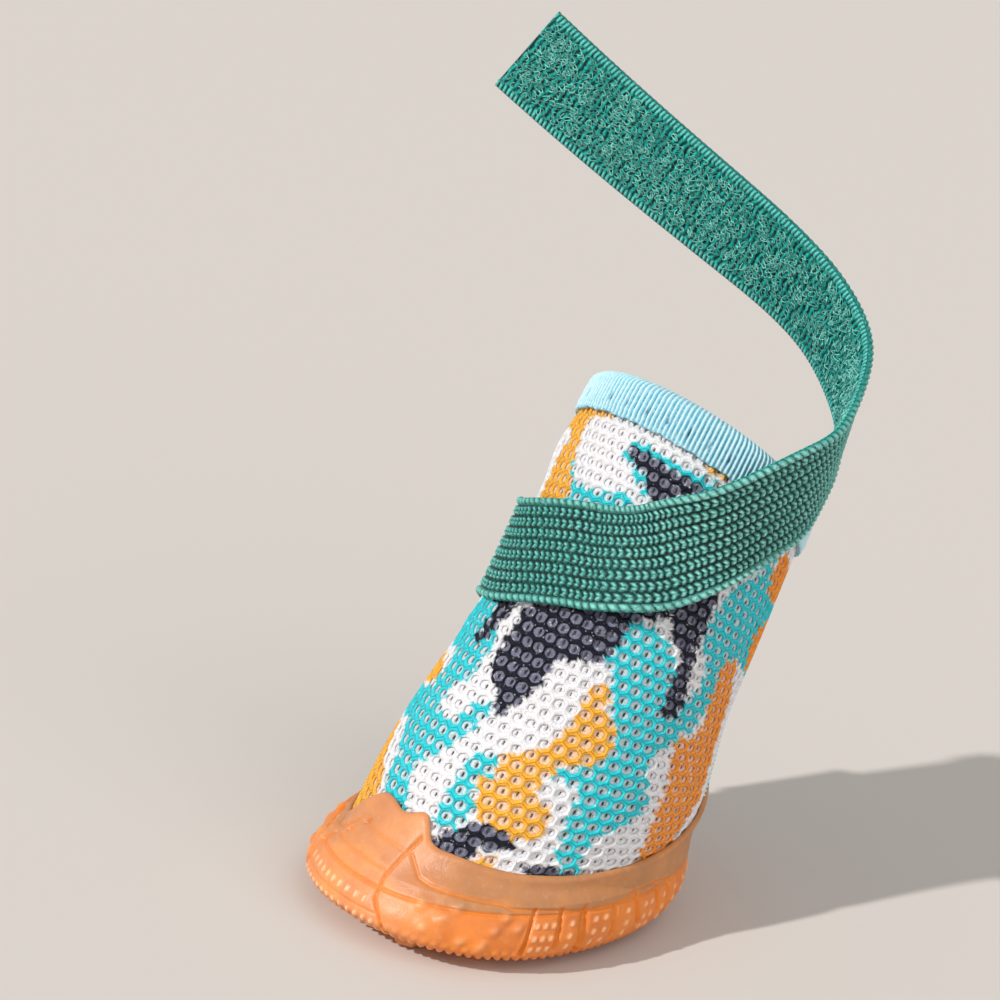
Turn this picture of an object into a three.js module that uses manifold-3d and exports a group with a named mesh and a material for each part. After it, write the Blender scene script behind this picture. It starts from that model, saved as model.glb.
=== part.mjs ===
// Small-dog boot: a moulded rubber cupsole, a printed mesh sleeve as its upper, a collar binding,
// an insole, and one long webbing strap that wraps the leg once and then stands free.
//
// Millimetres. +Z is up, the toe points to -Y, +X is the boot's own left side. The origin is in the
// resting plane, under the middle of the sole's length.
import * as THREE from 'three';
import { mergeVertices } from 'three/addons/utils/BufferGeometryUtils.js';
import Module from 'manifold-3d';

const wasm = await Module();
wasm.setup();

// ---------------------------------------------------------------- driving dimensions

const SOLE_LENGTH = 56;
const SOLE_WIDTH = 47;
const SOLE_SQUARENESS = 2.15; // superellipse exponent of the sole's outline, 2 is an ellipse
const SOLE_LEAN = 0.48; // how far the cup's wall leans back for each mm of height
const LEAN_START = 3; // height where that lean begins
const FLOOR_HEIGHT = 3.4; // top of the rubber under the foot
const LUG_HEIGHT = 1.2;
const LUG_ROOT = 0.4; // how deep a lug reaches into the rubber above it
const ARCH_RISE = 0.8;
const TOE_SPRING = 1.4;
const TOE_SPRING_START = 12; // distance in front of the origin where the toe begins to lift
const LIP = 0.8; // rubber thickness at the rim
const RIM_BAND = 1.6; // least height of the smooth band between the ridge and the rim

const GAP = 0.3; // clearance between pieces that touch
const FABRIC = 1.8; // wall of the mesh sleeve, face net and lining together
const LEG_ROUNDNESS = 2.1; // superellipse exponent of the sleeve's sections
const SLEEVE_TOP = 0.977; // where the sleeve's fabric ends, in the sleeve's own 0 to 1

const INSOLE_THICKNESS = 1.5;

const STRAP_WIDTH = 15;
const STRAP_THICKNESS = 1.1;

const TURN = 2 * Math.PI;
const RADIANS = Math.PI / 180;
const TOE = -90; // direction of the toe, in degrees from +X

// ---------------------------------------------------------------- tables

// The last: equal steps up the foot and leg, from the rubber floor to the collar's top edge.
const SECTIONS = [
  { name: 'floor', back: 0.0, up: 3.4, tilt: 0.0, halfWidth: 20.4, halfDepth: 24.4 },
  { name: 'instep', back: 8.3, up: 17.9, tilt: 11.5, halfWidth: 20.7, halfDepth: 23.2 },
  { name: 'ankle', back: 16.2, up: 33.0, tilt: 23.0, halfWidth: 18.8, halfDepth: 19.6 },
  { name: 'leg', back: 23.6, up: 48.3, tilt: 34.5, halfWidth: 18.4, halfDepth: 17.9 },
  { name: 'collar', back: 30.7, up: 65.0, tilt: 39.5, halfWidth: 18.2, halfDepth: 16.4 },
];

// The rubber wall's outside, from the bottom edge up to the ridge: inset from the sole's outline.
const CUP_WALL = [
  { name: 'bottom edge', inset: 2.5, up: 1.2 },
  { name: 'chamfer', inset: 1.1, up: 2.0 },
  { name: 'widest', inset: 0.0, up: 4.6 },
  { name: 'shoulder', inset: 0.3, up: 7.6 },
  { name: 'ridge', inset: 0.8, up: 9.6 },
];

// The rim of the cup: where it lies on the sleeve, by the angle from the toe. Angles below zero are
// on the boot's own right side, where the rubber sits lower.
const RIM = [
  { name: 'heel', fromToe: -180, at: 0.39 },
  { name: 'right heel quarter', fromToe: -150, at: 0.32 },
  { name: 'right heel side', fromToe: -120, at: 0.2 },
  { name: 'right waist', fromToe: -90, at: 0.13 },
  { name: 'right ball', fromToe: -60, at: 0.092 },
  { name: 'right forefoot', fromToe: -38, at: 0.088 },
  { name: 'toe tab slope', fromToe: -25, at: 0.134 },
  { name: 'toe tab peak', fromToe: -15, at: 0.167 },
  { name: 'toe tab top', fromToe: -9, at: 0.17 },
  { name: 'toe tab dip', fromToe: -1, at: 0.161 },
  { name: 'toe tab corner', fromToe: 8, at: 0.174 },
  { name: 'toe tab foot', fromToe: 15, at: 0.137 },
  { name: 'forefoot', fromToe: 25, at: 0.131 },
  { name: 'ball', fromToe: 55, at: 0.128 },
  { name: 'waist', fromToe: 90, at: 0.155 },
  { name: 'heel side', fromToe: 120, at: 0.225 },
  { name: 'heel quarter', fromToe: 150, at: 0.335 },
  { name: 'heel again', fromToe: 180, at: 0.39 },
];

// The tread: rows of hexagonal lugs, the outer ones on each row in from the row's half span.
const LUG_ROWS = [
  { name: 'toe', y: -20.5, halfSpan: 6, count: 3, radius: 2.6 },
  { name: 'forefoot front', y: -14, halfSpan: 12.5, count: 5, radius: 2.9 },
  { name: 'forefoot middle', y: -7.5, halfSpan: 14.5, count: 5, radius: 3.2 },
  { name: 'middle', y: 0, halfSpan: 13, count: 5, radius: 2.9 },
  { name: 'heel front', y: 11, halfSpan: 12, count: 4, radius: 3.0 },
  { name: 'heel back', y: 17, halfSpan: 9, count: 3, radius: 3.2 },
];

// The strap against the leg: degrees round from +X, place up the sleeve, the air under its nearer
// edge, and how many degrees its upper edge leans outwards.
const WRAP = [
  { name: 'sewn end', around: 86, at: 0.6, air: 0.15, lean: 0 },
  { name: 'heel', around: 120, at: 0.6, air: 0.15, lean: 0 },
  { name: 'right side', around: 180, at: 0.605, air: 0.1, lean: 4 },
  { name: 'right front', around: 222, at: 0.621, air: 0.1, lean: 3 },
  { name: 'right fold', around: 246, at: 0.619, air: 0.05, lean: 10 },
  { name: 'front', around: 275, at: 0.655, air: 0.25, lean: 5 },
  { name: 'left front', around: 303, at: 0.702, air: 0.2, lean: -6 },
  { name: 'left side', around: 324, at: 0.795, air: 0.15, lean: 17 },
  { name: 'leaving', around: 342, at: 0.907, air: 0.5, lean: 16 },
];

// The strap in the air: length from where it leaves the leg, compass heading from +X, climb, and
// how many degrees its upper edge leans outwards.
const TAIL = [
  { name: 'bend start', along: 8, heading: 99, climb: 22, lean: 13 },
  { name: 'first quarter', along: 16, heading: 116, climb: 29, lean: 10 },
  { name: 'second quarter', along: 24, heading: 130, climb: 32.5, lean: 7 },
  { name: 'top of the bend', along: 32, heading: 154, climb: 32.5, lean: 2.5 },
  { name: 'third quarter', along: 40, heading: 174, climb: 31, lean: -6.5 },
  { name: 'bend end', along: 48, heading: 190, climb: 27.5, lean: -11.5 },
  { name: 'straight', along: 60, heading: 202, climb: 26.5, lean: -11 },
  { name: 'cut end', along: 100.5, heading: 214, climb: 33, lean: -4 },
];

// ---------------------------------------------------------------- shared geometry

function clamp01(value) {
  return Math.min(1, Math.max(0, value));
}

// A smooth curve through a table's rows: Catmull-Rom on one column, over another.
function through(rows, overKey, key, value) {
  const last = rows.length - 1;
  let index = 0;
  while (index < last - 1 && value > rows[index + 1][overKey]) {
    index += 1;
  }
  const before = rows[Math.max(index - 1, 0)];
  const from = rows[index];
  const to = rows[index + 1];
  const after = rows[Math.min(index + 2, last)];
  const span = to[overKey] - from[overKey];
  const step = clamp01((value - from[overKey]) / span);
  const slopeFrom = (to[key] - before[key]) / (to[overKey] - before[overKey]);
  const slopeTo = (after[key] - from[key]) / (after[overKey] - from[overKey]);
  const square = step * step;
  const cube = square * step;
  return (
    (2 * cube - 3 * square + 1) * from[key] +
    (cube - 2 * square + step) * span * slopeFrom +
    (3 * square - 2 * cube) * to[key] +
    (cube - square) * span * slopeTo
  );
}

const STATIONS = SECTIONS.map((section, index) => ({
  ...section,
  at: index / (SECTIONS.length - 1),
}));

// The unit superellipse at an angle in degrees.
function superellipse(degrees, exponent) {
  const x = Math.cos(degrees * RADIANS);
  const y = Math.sin(degrees * RADIANS);
  const power = 2 / exponent;
  return [
    Math.sign(x) * Math.abs(x) ** power,
    Math.sign(y) * Math.abs(y) ** power,
  ];
}

// The toe's lift: everything low down in front of the ball rises, fading out over the toes.
function liftToe(point) {
  const reach = SOLE_LENGTH / 2 - TOE_SPRING_START;
  const forward = clamp01((-point.y - TOE_SPRING_START) / reach);
  const low = 1 - clamp01((point.z - 6) / 12);
  point.z += TOE_SPRING * forward * forward * low;
  return point;
}

// The sleeve's own function: a point at an angle, a place from floor (0) to collar (1), and a
// distance outside the fabric's face.
function sleevePoint(degrees, at, proud) {
  const [across, along] = superellipse(degrees, LEG_ROUNDNESS);
  const tilt = through(STATIONS, 'at', 'tilt', at) * RADIANS;
  const halfWidth = through(STATIONS, 'at', 'halfWidth', at) + proud;
  const depth = (through(STATIONS, 'at', 'halfDepth', at) + proud) * along;
  const over = Math.max(0, at - 1);
  const back = through(STATIONS, 'at', 'back', at) + over * 28;
  const up = through(STATIONS, 'at', 'up', at) + over * 62;
  return liftToe(new THREE.Vector3(
    halfWidth * across,
    back + depth * Math.cos(tilt),
    up - depth * Math.sin(tilt),
  ));
}

function rimAt(degrees) {
  const wrapped = ((degrees - TOE) % 360 + 360) % 360;
  const fromToe = wrapped > 180 ? wrapped - 360 : wrapped;
  return through(RIM, 'fromToe', 'at', fromToe);
}

// The cup's outside at an angle, inset from the sole's outline, at a height.
function wallPoint(degrees, inset, up) {
  const [across, along] = superellipse(degrees, SOLE_SQUARENESS);
  const lean = SOLE_LEAN * Math.max(0, up - LEAN_START);
  return liftToe(new THREE.Vector3(
    (SOLE_WIDTH / 2 - inset) * across,
    (SOLE_LENGTH / 2 - inset) * along + lean,
    up,
  ));
}

// The height of one of the wall's rows at an angle: above the widest row they crowd down where the
// rim is low.
function wallHeight(row, degrees) {
  const widest = CUP_WALL.find(({ name }) => name === 'widest');
  const ridge = CUP_WALL[CUP_WALL.length - 1];
  const room = sleevePoint(degrees, rimAt(degrees), 0).z - RIM_BAND;
  const share = (Math.min(ridge.up, room) - widest.up) / (ridge.up - widest.up);
  return row.up <= widest.up ? row.up : widest.up + (row.up - widest.up) * share;
}

// A closed skin over rings of equal length. Each ring is a row of points; a closed stack joins
// its last ring to its first, an open one is closed at each end by a point in its middle.
function skin(rings, closedStack, material, name) {
  const count = rings[0].length;
  const positions = rings.flat().flatMap((point) => [point.x, point.y, point.z]);
  const indices = [];
  const rows = closedStack ? rings.length : rings.length - 1;
  for (let row = 0; row < rows; row += 1) {
    const next = (row + 1) % rings.length;
    for (let column = 0; column < count; column += 1) {
      const side = (column + 1) % count;
      const a = row * count + column;
      const b = row * count + side;
      const c = next * count + side;
      const d = next * count + column;
      indices.push(a, b, c, a, c, d);
    }
  }
  if (!closedStack) {
    [0, rings.length - 1].forEach((row) => {
      const middle = new THREE.Vector3();
      rings[row].forEach((point) => middle.addScaledVector(point, 1 / count));
      const centre = positions.length / 3;
      positions.push(middle.x, middle.y, middle.z);
      for (let column = 0; column < count; column += 1) {
        const a = row * count + column;
        const b = row * count + ((column + 1) % count);
        indices.push(...(row === 0 ? [centre, b, a] : [centre, a, b]));
      }
    });
  }
  const geometry = new THREE.BufferGeometry();
  geometry.setAttribute('position', new THREE.Float32BufferAttribute(positions, 3));
  geometry.setIndex(indices);
  geometry.computeVertexNormals();
  const mesh = new THREE.Mesh(geometry, material);
  mesh.name = name;
  return mesh;
}

function ringOf(count, makePoint) {
  return Array.from({ length: count }, (unused, index) => makePoint((index / count) * 360));
}

function matte(color, roughness) {
  return new THREE.MeshStandardMaterial({ color, roughness, metalness: 0 });
}

// ---------------------------------------------------------------- booleans

function toSolid(geometry) {
  const bare = geometry.clone();
  bare.deleteAttribute('normal');
  bare.deleteAttribute('uv');
  const merged = mergeVertices(bare, 1e-4);
  return new wasm.Manifold(new wasm.Mesh({
    numProp: 3,
    vertProperties: new Float32Array(merged.attributes.position.array),
    triVerts: new Uint32Array(merged.index.array),
  }));
}

function toMesh(solid, material, name) {
  const { vertProperties, triVerts } = solid.getMesh();
  const geometry = new THREE.BufferGeometry();
  geometry.setAttribute('position', new THREE.BufferAttribute(vertProperties, 3));
  geometry.setIndex(new THREE.BufferAttribute(triVerts, 1));
  geometry.computeVertexNormals();
  const mesh = new THREE.Mesh(geometry, material);
  mesh.name = name;
  return mesh;
}

// ---------------------------------------------------------------- cupsole

const gumRubber = matte(0xe89a5e, 0.5);

// Underside of the rubber between the lugs, raised at the arch.
function undersideAt(y) {
  const arch = Math.max(0, 1 - Math.abs(y - 5) / 5);
  return LUG_HEIGHT + ARCH_RISE * arch;
}

function makeCupSole() {
  const segments = 84;
  const rings = [];
  [0.34, 0.7].forEach((share) => {
    rings.push(ringOf(segments, (degrees) => {
      const edge = wallPoint(degrees, CUP_WALL[0].inset, CUP_WALL[0].up);
      const point = new THREE.Vector3(edge.x * share, edge.y * share, 0);
      point.z = undersideAt(point.y);
      return liftToe(point);
    }));
  });
  CUP_WALL.forEach((row) => {
    rings.push(ringOf(segments, (degrees) => (
      wallPoint(degrees, row.inset, wallHeight(row, degrees))
    )));
  });
  // From the ridge the wall sweeps in to the rim, hollowed a little on the way.
  const ridge = CUP_WALL[CUP_WALL.length - 1];
  [0.3, 0.65, 0.92].forEach((share) => {
    rings.push(ringOf(segments, (degrees) => {
      const low = wallPoint(degrees, ridge.inset, wallHeight(ridge, degrees));
      const high = sleevePoint(degrees, rimAt(degrees), GAP + LIP);
      const hollow = 0.4 * Math.sin(share * Math.PI);
      const point = low.lerp(high, share);
      const [across, along] = superellipse(degrees, LEG_ROUNDNESS);
      point.x -= hollow * across;
      point.y -= hollow * along;
      return point;
    }));
  });
  [GAP + LIP * 0.8, GAP + 0.1].forEach((proud, index) => {
    const over = index === 0 ? 0 : 0.004;
    rings.push(ringOf(segments, (degrees) => sleevePoint(degrees, rimAt(degrees) + over, proud)));
  });
  [0.97, 0.7, 0.4, 0.12].forEach((share) => {
    rings.push(ringOf(segments, (degrees) => sleevePoint(degrees, rimAt(degrees) * share, GAP)));
  });
  const floorDrop = GAP;
  [1, 0.6].forEach((share) => {
    rings.push(ringOf(segments, (degrees) => {
      const edge = sleevePoint(degrees, 0, GAP);
      const point = new THREE.Vector3(edge.x * share, edge.y * share, FLOOR_HEIGHT - floorDrop);
      return liftToe(point);
    }));
  });
  const cup = skin(rings, false, gumRubber, 'cup_body');

  let solid = toSolid(cup.geometry);
  LUG_ROWS.forEach((row) => {
    for (let index = 0; index < row.count; index += 1) {
      const share = row.count === 1 ? 0 : (index / (row.count - 1)) * 2 - 1;
      const x = share * row.halfSpan;
      const lug = new THREE.CylinderGeometry(row.radius, row.radius * 0.86, 1, 6, 1);
      const underside = liftToe(new THREE.Vector3(x, row.y, undersideAt(row.y)));
      const bottom = underside.z - undersideAt(row.y);
      const top = underside.z + LUG_ROOT;
      lug.rotateX(Math.PI / 2);
      lug.scale(1, 1, top - bottom);
      lug.translate(x, row.y, (top + bottom) / 2);
      solid = solid.add(toSolid(lug));
    }
  });
  return toMesh(solid, gumRubber, 'cup_sole');
}

// ---------------------------------------------------------------- upper

// A tube whose wall is a closed loop of (proud, at) pairs carried round the leg: up its outside,
// over its top and down its inside.
function sleeveLoop(profile, segments, material, name) {
  const rings = ringOf(segments, (degrees) => profile.map(({ proud, at }) => (
    sleevePoint(-degrees, at, proud)
  )));
  return skin(rings, true, material, name);
}

function makeUpper() {
  const steps = 13;
  const outside = [];
  const inside = [];
  for (let index = 0; index <= steps; index += 1) {
    const at = (index / steps) * SLEEVE_TOP;
    outside.push({ proud: 0, at });
    inside.unshift({ proud: -FABRIC, at });
  }
  return sleeveLoop([...outside, ...inside], 64, matte(0x2fb3bd, 0.85), 'upper');
}

// ---------------------------------------------------------------- collar binding

// The folded band's section: how far each corner stands off the sleeve's face, and its place.
const BAND_SECTION = [
  { name: 'outer hem', proud: GAP, at: 0.914 },
  { name: 'outer hem edge', proud: 0.8, at: 0.912 },
  { name: 'outer swell', proud: 1.05, at: 0.925 },
  { name: 'outer face', proud: 1.05, at: 0.957 },
  { name: 'outer shoulder', proud: 0.8, at: 0.983 },
  { name: 'crest', proud: -0.9, at: 0.998 },
  { name: 'inner shoulder', proud: -2.7, at: 0.983 },
  { name: 'inner face', proud: -2.95, at: 0.957 },
  { name: 'inner swell', proud: -2.95, at: 0.925 },
  { name: 'inner hem edge', proud: -2.7, at: 0.912 },
  { name: 'inner hem', proud: -FABRIC - GAP, at: 0.914 },
  { name: 'inner fold', proud: -FABRIC - GAP, at: SLEEVE_TOP + 0.005 },
  { name: 'outer fold', proud: GAP, at: SLEEVE_TOP + 0.005 },
];

function makeCollarBinding() {
  return sleeveLoop(BAND_SECTION, 64, matte(0x8fe3f0, 0.8), 'collar_binding');
}

// ---------------------------------------------------------------- insole

function makeInsole() {
  const low = GAP / 58;
  const high = low + INSOLE_THICKNESS / 58;
  const clear = -FABRIC - GAP;
  const rings = [
    ringOf(60, (degrees) => sleevePoint(degrees, low, clear)),
    ringOf(60, (degrees) => sleevePoint(degrees, high, clear)),
  ];
  return skin(rings, false, matte(0xd9d6cf, 0.9), 'insole');
}

// ---------------------------------------------------------------- strap

// The strap's middle line while it lies on the leg.
function wrapPoint(around) {
  const air = through(WRAP, 'around', 'air', around);
  const lean = through(WRAP, 'around', 'lean', around) * RADIANS;
  const standOff = GAP + air + (STRAP_WIDTH / 2) * Math.abs(Math.sin(lean));
  return sleevePoint(around, through(WRAP, 'around', 'at', around), standOff);
}

function wrapStation(around) {
  const nudge = 0.5;
  const at = through(WRAP, 'around', 'at', around);
  const middle = wrapPoint(around);
  const ahead = Math.min(around + nudge, WRAP[WRAP.length - 1].around);
  const behind = Math.max(around - nudge, WRAP[0].around);
  const travel = wrapPoint(ahead).sub(wrapPoint(behind)).normalize();
  const sideways = sleevePoint(around + nudge, at, GAP).sub(sleevePoint(around - nudge, at, GAP));
  const upwards = sleevePoint(around, at + 0.01, GAP).sub(sleevePoint(around, at - 0.01, GAP));
  const outward = sideways.cross(upwards).normalize();
  const lean = through(WRAP, 'around', 'lean', around) * RADIANS;
  outward.addScaledVector(travel, -outward.dot(travel)).normalize();
  outward.applyAxisAngle(travel, lean);
  return { middle, travel, outward };
}

function headingOf(travel) {
  return {
    heading: Math.atan2(travel.y, travel.x) / RADIANS,
    climb: Math.asin(travel.z) / RADIANS,
  };
}

// The free end: the strap keeps its climb and turns by the table, one short step at a time.
function tailStations(from) {
  const start = { name: 'leaving', along: 0, lean: 0, ...headingOf(from.travel) };
  const rows = [start, ...TAIL];
  const length = TAIL[TAIL.length - 1].along;
  const steps = 44;
  const stations = [];
  const middle = from.middle.clone();
  for (let index = 1; index <= steps; index += 1) {
    const along = ((index - 0.5) / steps) * length;
    const heading = through(rows, 'along', 'heading', along) * RADIANS;
    const climb = through(rows, 'along', 'climb', along) * RADIANS;
    const lean = through(rows, 'along', 'lean', along) * RADIANS;
    const travel = new THREE.Vector3(
      Math.cos(heading) * Math.cos(climb),
      Math.sin(heading) * Math.cos(climb),
      Math.sin(climb),
    );
    middle.addScaledVector(travel, length / steps);
    const upright = new THREE.Vector3(Math.sin(heading), -Math.cos(heading), 0);
    const blend = clamp01(along / 12);
    const outward = from.outward.clone().lerp(upright, blend);
    outward.addScaledVector(travel, -outward.dot(travel)).normalize();
    outward.applyAxisAngle(travel, lean * blend);
    stations.push({ middle: middle.clone(), travel, outward });
  }
  return stations;
}

function makeStrap() {
  const wrapSteps = 54;
  const first = WRAP[0].around;
  const last = WRAP[WRAP.length - 1].around;
  const stations = [];
  for (let index = 0; index <= wrapSteps; index += 1) {
    stations.push(wrapStation(first + ((last - first) * index) / wrapSteps));
  }
  stations.push(...tailStations(stations[stations.length - 1]));
  const half = STRAP_WIDTH / 2;
  const corners = [[-half, 0], [0, 0], [half, 0], [half, 1], [0, 1], [-half, 1]];
  const rings = stations.map(({ middle, travel, outward }) => {
    const across = outward.clone().cross(travel).normalize();
    return corners.map(([side, face]) => middle.clone()
      .addScaledVector(across, side)
      .addScaledVector(outward, face * STRAP_THICKNESS));
  });
  return skin(rings, false, matte(0x2e9c88, 0.85), 'strap');
}

// ---------------------------------------------------------------- the boot

const boot = new THREE.Group();
boot.add(makeCupSole(), makeUpper(), makeCollarBinding(), makeInsole(), makeStrap());

export default boot;
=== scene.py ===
import bpy
import numpy as np
from mathutils import Matrix, Vector


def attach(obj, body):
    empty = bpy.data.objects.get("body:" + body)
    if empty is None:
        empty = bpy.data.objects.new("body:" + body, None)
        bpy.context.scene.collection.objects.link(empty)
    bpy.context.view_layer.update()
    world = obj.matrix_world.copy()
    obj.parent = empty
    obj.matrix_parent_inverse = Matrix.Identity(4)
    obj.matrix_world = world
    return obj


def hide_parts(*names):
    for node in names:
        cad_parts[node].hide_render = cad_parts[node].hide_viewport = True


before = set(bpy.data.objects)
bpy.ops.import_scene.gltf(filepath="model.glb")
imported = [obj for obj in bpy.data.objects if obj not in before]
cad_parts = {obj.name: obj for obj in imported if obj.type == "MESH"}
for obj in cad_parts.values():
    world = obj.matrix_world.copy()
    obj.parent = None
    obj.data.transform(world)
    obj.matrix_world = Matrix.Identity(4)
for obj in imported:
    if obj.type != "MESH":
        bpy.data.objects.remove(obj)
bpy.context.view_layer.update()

# A small-dog boot: gum rubber cup sole, printed air-mesh leg, knitted collar and a webbing strap.
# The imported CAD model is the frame. Tables and shape functions are in millimetres, like the CAD, and
# turned to metres where a mesh is made. +Z is up, the toe points to -Y, the boot's own left is +X.

# ------------------------------------------------------------------ camera
# A long lens from the toe's left, a little above the boot and rolled clockwise.

LOOK_POINT = Vector((-0.0379, 0.0297, 0.0428))
AZIMUTH, ELEVATION, ROLL = np.radians([44.22, 18.89, 8.48])
DISTANCE = 0.4918
FOCAL_LENGTH = 115.95


def towards(azimuth, elevation):
    """The unit vector towards something seen at an azimuth from the toe and an elevation."""
    return Vector((
        np.sin(azimuth) * np.cos(elevation),
        -np.cos(azimuth) * np.cos(elevation),
        np.sin(elevation),
    ))


rightwards = Vector((np.cos(AZIMUTH), np.sin(AZIMUTH), 0))
towards_camera = towards(AZIMUTH, ELEVATION)
upwards = towards_camera.cross(rightwards)
camera_x = rightwards * np.cos(ROLL) + upwards * np.sin(ROLL)
camera_y = upwards * np.cos(ROLL) - rightwards * np.sin(ROLL)
camera_turn = Matrix((camera_x, camera_y, towards_camera)).transposed()

camera_data = bpy.data.cameras.new("camera")
camera_data.lens = FOCAL_LENGTH
camera_data.clip_start = 0.01
camera = bpy.data.objects.new("camera", camera_data)
camera.matrix_world = Matrix.Translation(LOOK_POINT + towards_camera * DISTANCE) @ camera_turn.to_4x4()
bpy.context.scene.collection.objects.link(camera)
bpy.context.scene.camera = camera
bpy.context.scene.view_settings.view_transform = "Standard"

# ------------------------------------------------------------------ studio
# A pale warm grey floor that runs on as the backdrop, one key light low in front of the toe whose
# shadow falls behind the boot, a broad weak fill from its left, and an even pale surround. The
# floor's paper is the first material, so what every material is written with stands here too.

FLOOR_REACH = 6.0
KEY_AZIMUTH, KEY_ELEVATION = np.radians([-14, 36.5])
KEY_SPREAD, KEY_POWER = np.radians(1.9), 2.55
FILL_AZIMUTH, FILL_ELEVATION = np.radians([84, 38])
FILL_SPREAD, FILL_POWER = np.radians(60), 0.90
SURROUND_STRENGTH = 0.425


class Signal:
    """A value running between shader nodes. Arithmetic on it adds Math nodes."""

    def __init__(self, finish, socket):
        self.finish, self.socket = finish, socket

    def _math(self, operation, *values):
        inputs = dict(enumerate(values))
        return self.finish.node("ShaderNodeMath", {"operation": operation}, inputs)

    def __add__(self, other):
        return self._math("ADD", self, other)

    def __radd__(self, other):
        return self._math("ADD", other, self)

    def __sub__(self, other):
        return self._math("SUBTRACT", self, other)

    def __rsub__(self, other):
        return self._math("SUBTRACT", other, self)

    def __mul__(self, other):
        return self._math("MULTIPLY", self, other)

    def __rmul__(self, other):
        return self._math("MULTIPLY", other, self)

    def clamped(self):
        return self.finish.node("ShaderNodeClamp", {}, {"Value": self})

    def wave(self):
        """The sine of the value."""
        return self._math("SINE", self)


class Finish:
    """A material around one Principled shader."""

    def __init__(self, name, **constants):
        self.material = bpy.data.materials.new(name)
        self.material.use_nodes = True
        self.tree = self.material.node_tree
        self.tree.nodes.clear()
        self.shader = self.tree.nodes.new("ShaderNodeBsdfPrincipled")
        output = self.tree.nodes.new("ShaderNodeOutputMaterial")
        self.tree.links.new(self.shader.outputs["BSDF"], output.inputs["Surface"])
        self.use(**constants)

    def feed(self, socket, value):
        if isinstance(value, Signal):
            self.tree.links.new(value.socket, socket)
        else:
            socket.default_value = value

    def node(self, kind, settings, inputs, output=0):
        """Adds a node: its settings first, then what its sockets hold, and gives one output."""
        made = self.tree.nodes.new(kind)
        for setting, value in settings.items():
            setattr(made, setting, value)
        for socket_name, value in inputs.items():
            self.feed(made.inputs[socket_name], value)
        return Signal(self, made.outputs[output])

    def place(self):
        return self.node("ShaderNodeTexCoord", {}, {}, "Object")

    def tone(self):
        """The colour that the piece's points carry."""
        return self.node("ShaderNodeAttribute", {"attribute_name": "tone"}, {}, "Color")

    def noise(self, scale, detail=2.0, roughness=0.5):
        inputs = {"Vector": self.place(), "Scale": scale, "Detail": detail, "Roughness": roughness}
        return self.node("ShaderNodeTexNoise", {}, inputs, "Fac")

    def layers(self, tone, *steps):
        """Lays colours over a tone in turn, each by its own share: a noise times a gain plus an
        offset, kept between 0 and 1, times a strength."""
        for noise, gain, offset, strength, code, blend in steps:
            share = (noise * gain + offset).clamped() * strength
            settings = {"data_type": "RGBA", "blend_type": blend}
            tone = self.node("ShaderNodeMix", settings, {0: share, 6: tone, 7: colour(code)}, 2)
        return tone

    def bump(self, height, depth, strength=1.0, below=None):
        inputs = {"Height": height, "Distance": depth, "Strength": strength}
        if below is not None:
            inputs["Normal"] = below
        return self.node("ShaderNodeBump", {}, inputs)

    def use(self, **links):
        """Puts values or signals on the shader's own sockets."""
        sockets = {socket.name.lower().replace(" ", "_"): socket for socket in self.shader.inputs}
        for socket_name, value in links.items():
            self.feed(sockets[socket_name], value)


def linear(code):
    """A hex colour as three linear values."""
    channels = np.array([int(code[i:i + 2], 16) for i in (1, 3, 5)]) / 255
    return np.where(channels <= 0.04045, channels / 12.92, ((channels + 0.055) / 1.055) ** 2.4)


def colour(code):
    """A hex colour as the four linear values that a shader's socket takes."""
    return (*linear(code).tolist(), 1.0)


floor_mesh = bpy.data.meshes.new("floor")
corners = [(-1, -1), (1, -1), (1, 1), (-1, 1)]
floor_mesh.from_pydata([(x * FLOOR_REACH, y * FLOOR_REACH, 0) for x, y in corners], [], [(0, 1, 2, 3)])
floor = bpy.data.objects.new("floor", floor_mesh)
bpy.context.scene.collection.objects.link(floor)
paper = Finish("studio_paper", base_color=colour("#D4CEC8"), roughness=0.9, specular_ior_level=0.15)
floor_mesh.materials.append(paper.material)

for name, azimuth, elevation, spread, power, tint in (
        ("key", KEY_AZIMUTH, KEY_ELEVATION, KEY_SPREAD, KEY_POWER, (1.0, 0.985, 0.96)),
        ("fill", FILL_AZIMUTH, FILL_ELEVATION, FILL_SPREAD, FILL_POWER, (1.0, 0.99, 0.98))):
    light_data = bpy.data.lights.new(name, "SUN")
    light_data.angle, light_data.energy, light_data.color = spread, power, tint
    light = bpy.data.objects.new(name, light_data)
    light.matrix_world = towards(azimuth, elevation).to_track_quat("Z", "Y").to_matrix().to_4x4()
    bpy.context.scene.collection.objects.link(light)

surround = bpy.data.worlds.new("surround")
surround.use_nodes = True
background = surround.node_tree.nodes["Background"]
background.inputs["Color"].default_value = (1.0, 0.985, 0.975, 1)
background.inputs["Strength"].default_value = SURROUND_STRENGTH
bpy.context.scene.world = surround

# ------------------------------------------------------------------ upper: the leg's own shape
# The leg is one sleeve sewn from air mesh: a printed face net over a pale lining. Its last runs up
# the foot and leans back over the heel. These functions give its surface, as the CAD has it.

SLEEVE_ROUNDNESS = 2.1
LAST = {
    "at": (0, 0.25, 0.5, 0.75, 1),
    "back": (0, 8.3, 16.2, 23.6, 30.7),
    "up": (3.4, 17.9, 33.0, 48.3, 65.0),
    "tilt": (0, 11.5, 23.0, 34.5, 39.5),
    "half_width": (20.4, 20.7, 18.8, 18.4, 18.2),
    "half_depth": (24.4, 23.2, 19.6, 17.9, 16.4),
}
SOLE_LENGTH, SOLE_WIDTH = 56, 47
TOE_SPRING, TOE_SPRING_START = 1.4, 12
SPRUNG_FULLY, SPRUNG_FADE = 6, 12  # up to this height the toe lifts fully, and then less and less
LINE_BACK, LINE_UP = 28, 62  # how the leg's line would run on above the collar, per unit of place


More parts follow.
